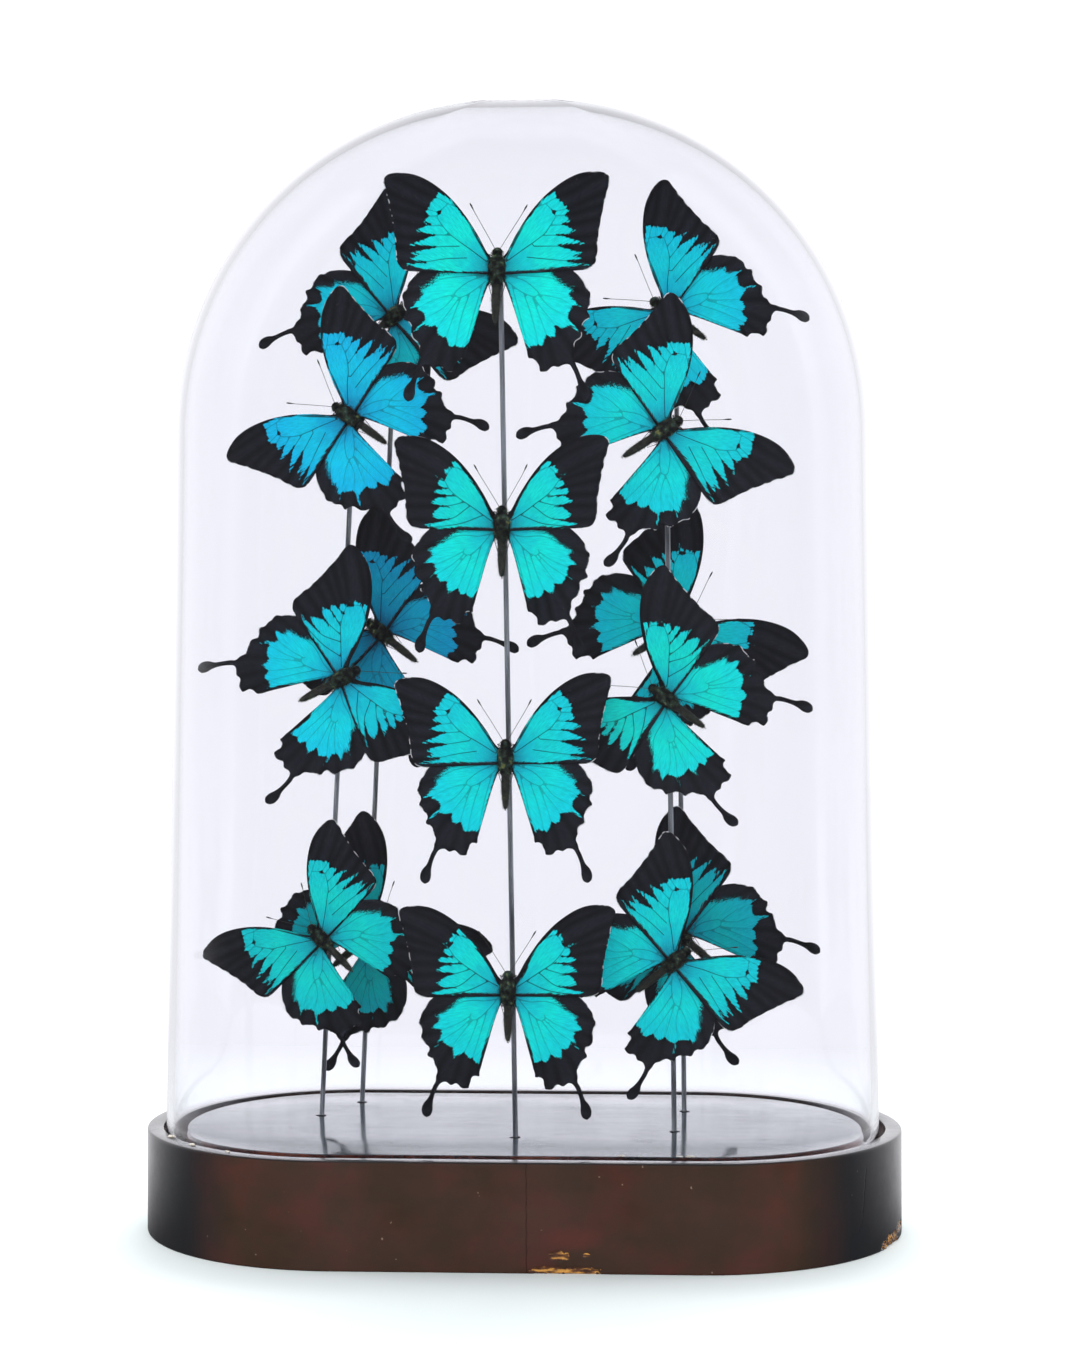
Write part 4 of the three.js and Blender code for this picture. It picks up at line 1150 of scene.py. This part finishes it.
def grownWings(pattern, foreRaise, hindRaise, random):
    parts = []
    for which, side in enumerate((-1, 1)):
        fore = wingSheet(foreOutline, pattern["forePatch"], pattern["foreVeins"], pattern["spot"], random)
        hind = wingSheet(hindOutline, pattern["hindPatch"], pattern["hindVeins"], wing["noSpot"], random)
        parts.append(wingSolid(fore, side, wing["foreRoot"], foreRaise[which], wing["foreDepth"], random))
        parts.append(wingSolid(hind, side, wing["hindRoot"], hindRaise[which], wing["hindDepth"], random))
    return parts


def grownBody(random):
    form, faces = roundForm(bodyProfile, insect["sides"], insect["abdomenJoint"])
    middle = np.array([form[list(face)][:, 2].mean() for face in faces])
    parts = [(form, faces, np.where(middle < insect["waist"], skins["abdomen"], skins["fur"]), None)]
    radii, heights = np.array(bodyProfile).T
    # fur: outward and back over the thorax, sparse on the abdomen
    for count, low, high, length in insect["fur"]:
        at = random.uniform(low, high, count)
        radius = np.interp(at, heights, radii) * 0.95
        around = random.uniform(0, 2 * math.pi, count)
        outward = np.c_[np.cos(around), insect["flatness"] * np.sin(around), np.zeros(count)]
        roots = np.c_[outward[:, :2] * radius[:, None], at]
        ways = outward + np.c_[random.normal(0, 0.3, (count, 2)), random.normal(-0.9, 0.4, count)]
        lengths = length * random.uniform(0.5, 1.1, count)
        parts.append((*hairs(roots, ways, lengths, random), skins["fur"], None))
    return parts


def grownLimbs(side, random):
    # the eye, the feeler with its club and the three legs of one side
    eye, faces = roundForm(insect["eye"], 12)
    right, back, up = insect["eyePlace"]
    limbs = [(eye + np.array((side * right, back, up)), faces)]
    x, z = softLine(insect["feeler"], 0.9, False).T
    share = np.linspace(0, 1, len(x))
    path = np.c_[x * side + random.normal(0, 0.4) * share ** 2, -0.6 - 0.06 * x, z]
    club = np.exp(-((share - 0.93) / 0.07) ** 2)
    radii = insect["feelerRadius"] + (insect["clubRadius"] - insect["feelerRadius"]) * club
    radii[-1] = insect["feelerRadius"]
    limbs.append(tube(path, radii, 8))
    for startZ, kneeX, kneeZ, footZ in insect["legs"]:
        x, z = softLine([(0.8, startZ), (kneeX * 0.7, (startZ + kneeZ) / 2 + 0.6), (kneeX, kneeZ),
                         (kneeX * 0.75, (kneeZ + footZ) / 2), (kneeX * 0.5, footZ)], 0.8, False).T
        leg = np.c_[x * side, np.linspace(2.2, 3.6, len(x)), z]
        limbs.append(tube(leg, np.linspace(0.26, 0.11, len(x)), 6))
    return [(points, faces, skins["chitin"], None) for points, faces in limbs]


def joinParts(parts):
    # one mesh of parts: points, faces, the skin of the faces and fields, which are 0 outside the wings
    faces, kinds, first = [], [], 0
    fields = {key: [] for key in wingFields + ("place",)}
    for points, partFaces, skin, values in parts:
        faces += [tuple(int(i) + first for i in face) for face in partFaces]
        kinds += np.broadcast_to(skin, len(partFaces)).tolist()
        for key, column in fields.items():
            blank = np.zeros((len(points), 3) if key == "place" else len(points))
            column.append(values[key] if values else blank)
        first += len(points)
    fields = {key: np.concatenate(column) for key, column in fields.items()}
    return np.vstack([part[0] for part in parts]), faces, kinds, fields


def makeButterfly(number, name, materials):
    x, z, turn, size, foreRaise, hindRaise, pattern, tone, shade = butterflies[name]
    random = np.random.default_rng(100 + number)
    onRod = rodAt(name.rsplit("_", 1)[0], z)
    centre = np.array((x, onRod[1] - wing["bodyToRod"], z))
    parts = grownWings(patterns[pattern], foreRaise, hindRaise, random) + grownBody(random)
    for side in (-1, 1):
        parts += grownLimbs(side, random)
    points, faces, kinds, fields = joinParts(parts)
    across, depth, up = (points * size).T
    angle = math.radians(turn)
    placed = np.c_[across * math.cos(angle) - up * math.sin(angle), depth,
                   across * math.sin(angle) + up * math.cos(angle)] + centre
    # the pin that holds the insect to its rod
    pinEnd = onRod - np.array((0, rod["radius"] - 0.1, 0))
    pin, pinFaces = tube([centre, (centre + onRod) / 2, pinEnd], insect["pinRadius"], 10)
    points, faces, kinds, fields = joinParts([(placed, faces, kinds, fields),
                                              (pin, pinFaces, skins["pin"], None)])
    fields.update(tone=np.full(len(points), tone), shade=np.full(len(points), shade))
    return makeMesh("butterfly_" + name + "_mounted", points, faces, materials, kinds, fields)


def makeButterflies():
    # fur: dark, with green and straw-coloured hairs; abdomen: dry and dull; chitin: black with a low gloss
    under = wingUnder()
    upperGreen, upperBlue = wingUpper("turquoise_wing_scales"), wingUpper("blue_wing_scales")
    furStops = [(0.42, insect["bodyDark"]), (0.52, "#2E3224"), (0.62, insect["thoraxGreen"]),
                (0.7, "#7C8048")]
    fur = speckled("dried_body_fur", furStops, {"Roughness": 0.75, "Specular IOR Level": 0.2}, 420, 3, 0.3)
    abdomen = speckled("dried_abdomen", [(0.3, "#1C1D1A"), (0.7, insect["abdomen"])],
                       {"Roughness": 0.6, "Specular IOR Level": 0.3}, 600, 3, 0.3)
    chitin = speckled("black_chitin", [(0.3, "#0E0D0D"), (0.7, "#1E1B19")],
                      {"Roughness": 0.35, "IOR": 1.55}, 700, 3, 0.3)
    shared = [under, fur, abdomen, chitin, bpy.data.materials["drawn_steel_wire"]]
    for number, name in enumerate(butterflies):
        isBlue = name.startswith(("left_back", "right_back"))
        piece = makeButterfly(number, name, [upperBlue if isBlue else upperGreen] + shared)
        enlist(piece, "butterfly_blue" if isBlue else "butterfly_green", "butterfly_" + name)


makeButterflies()
print("the butterflies are made")
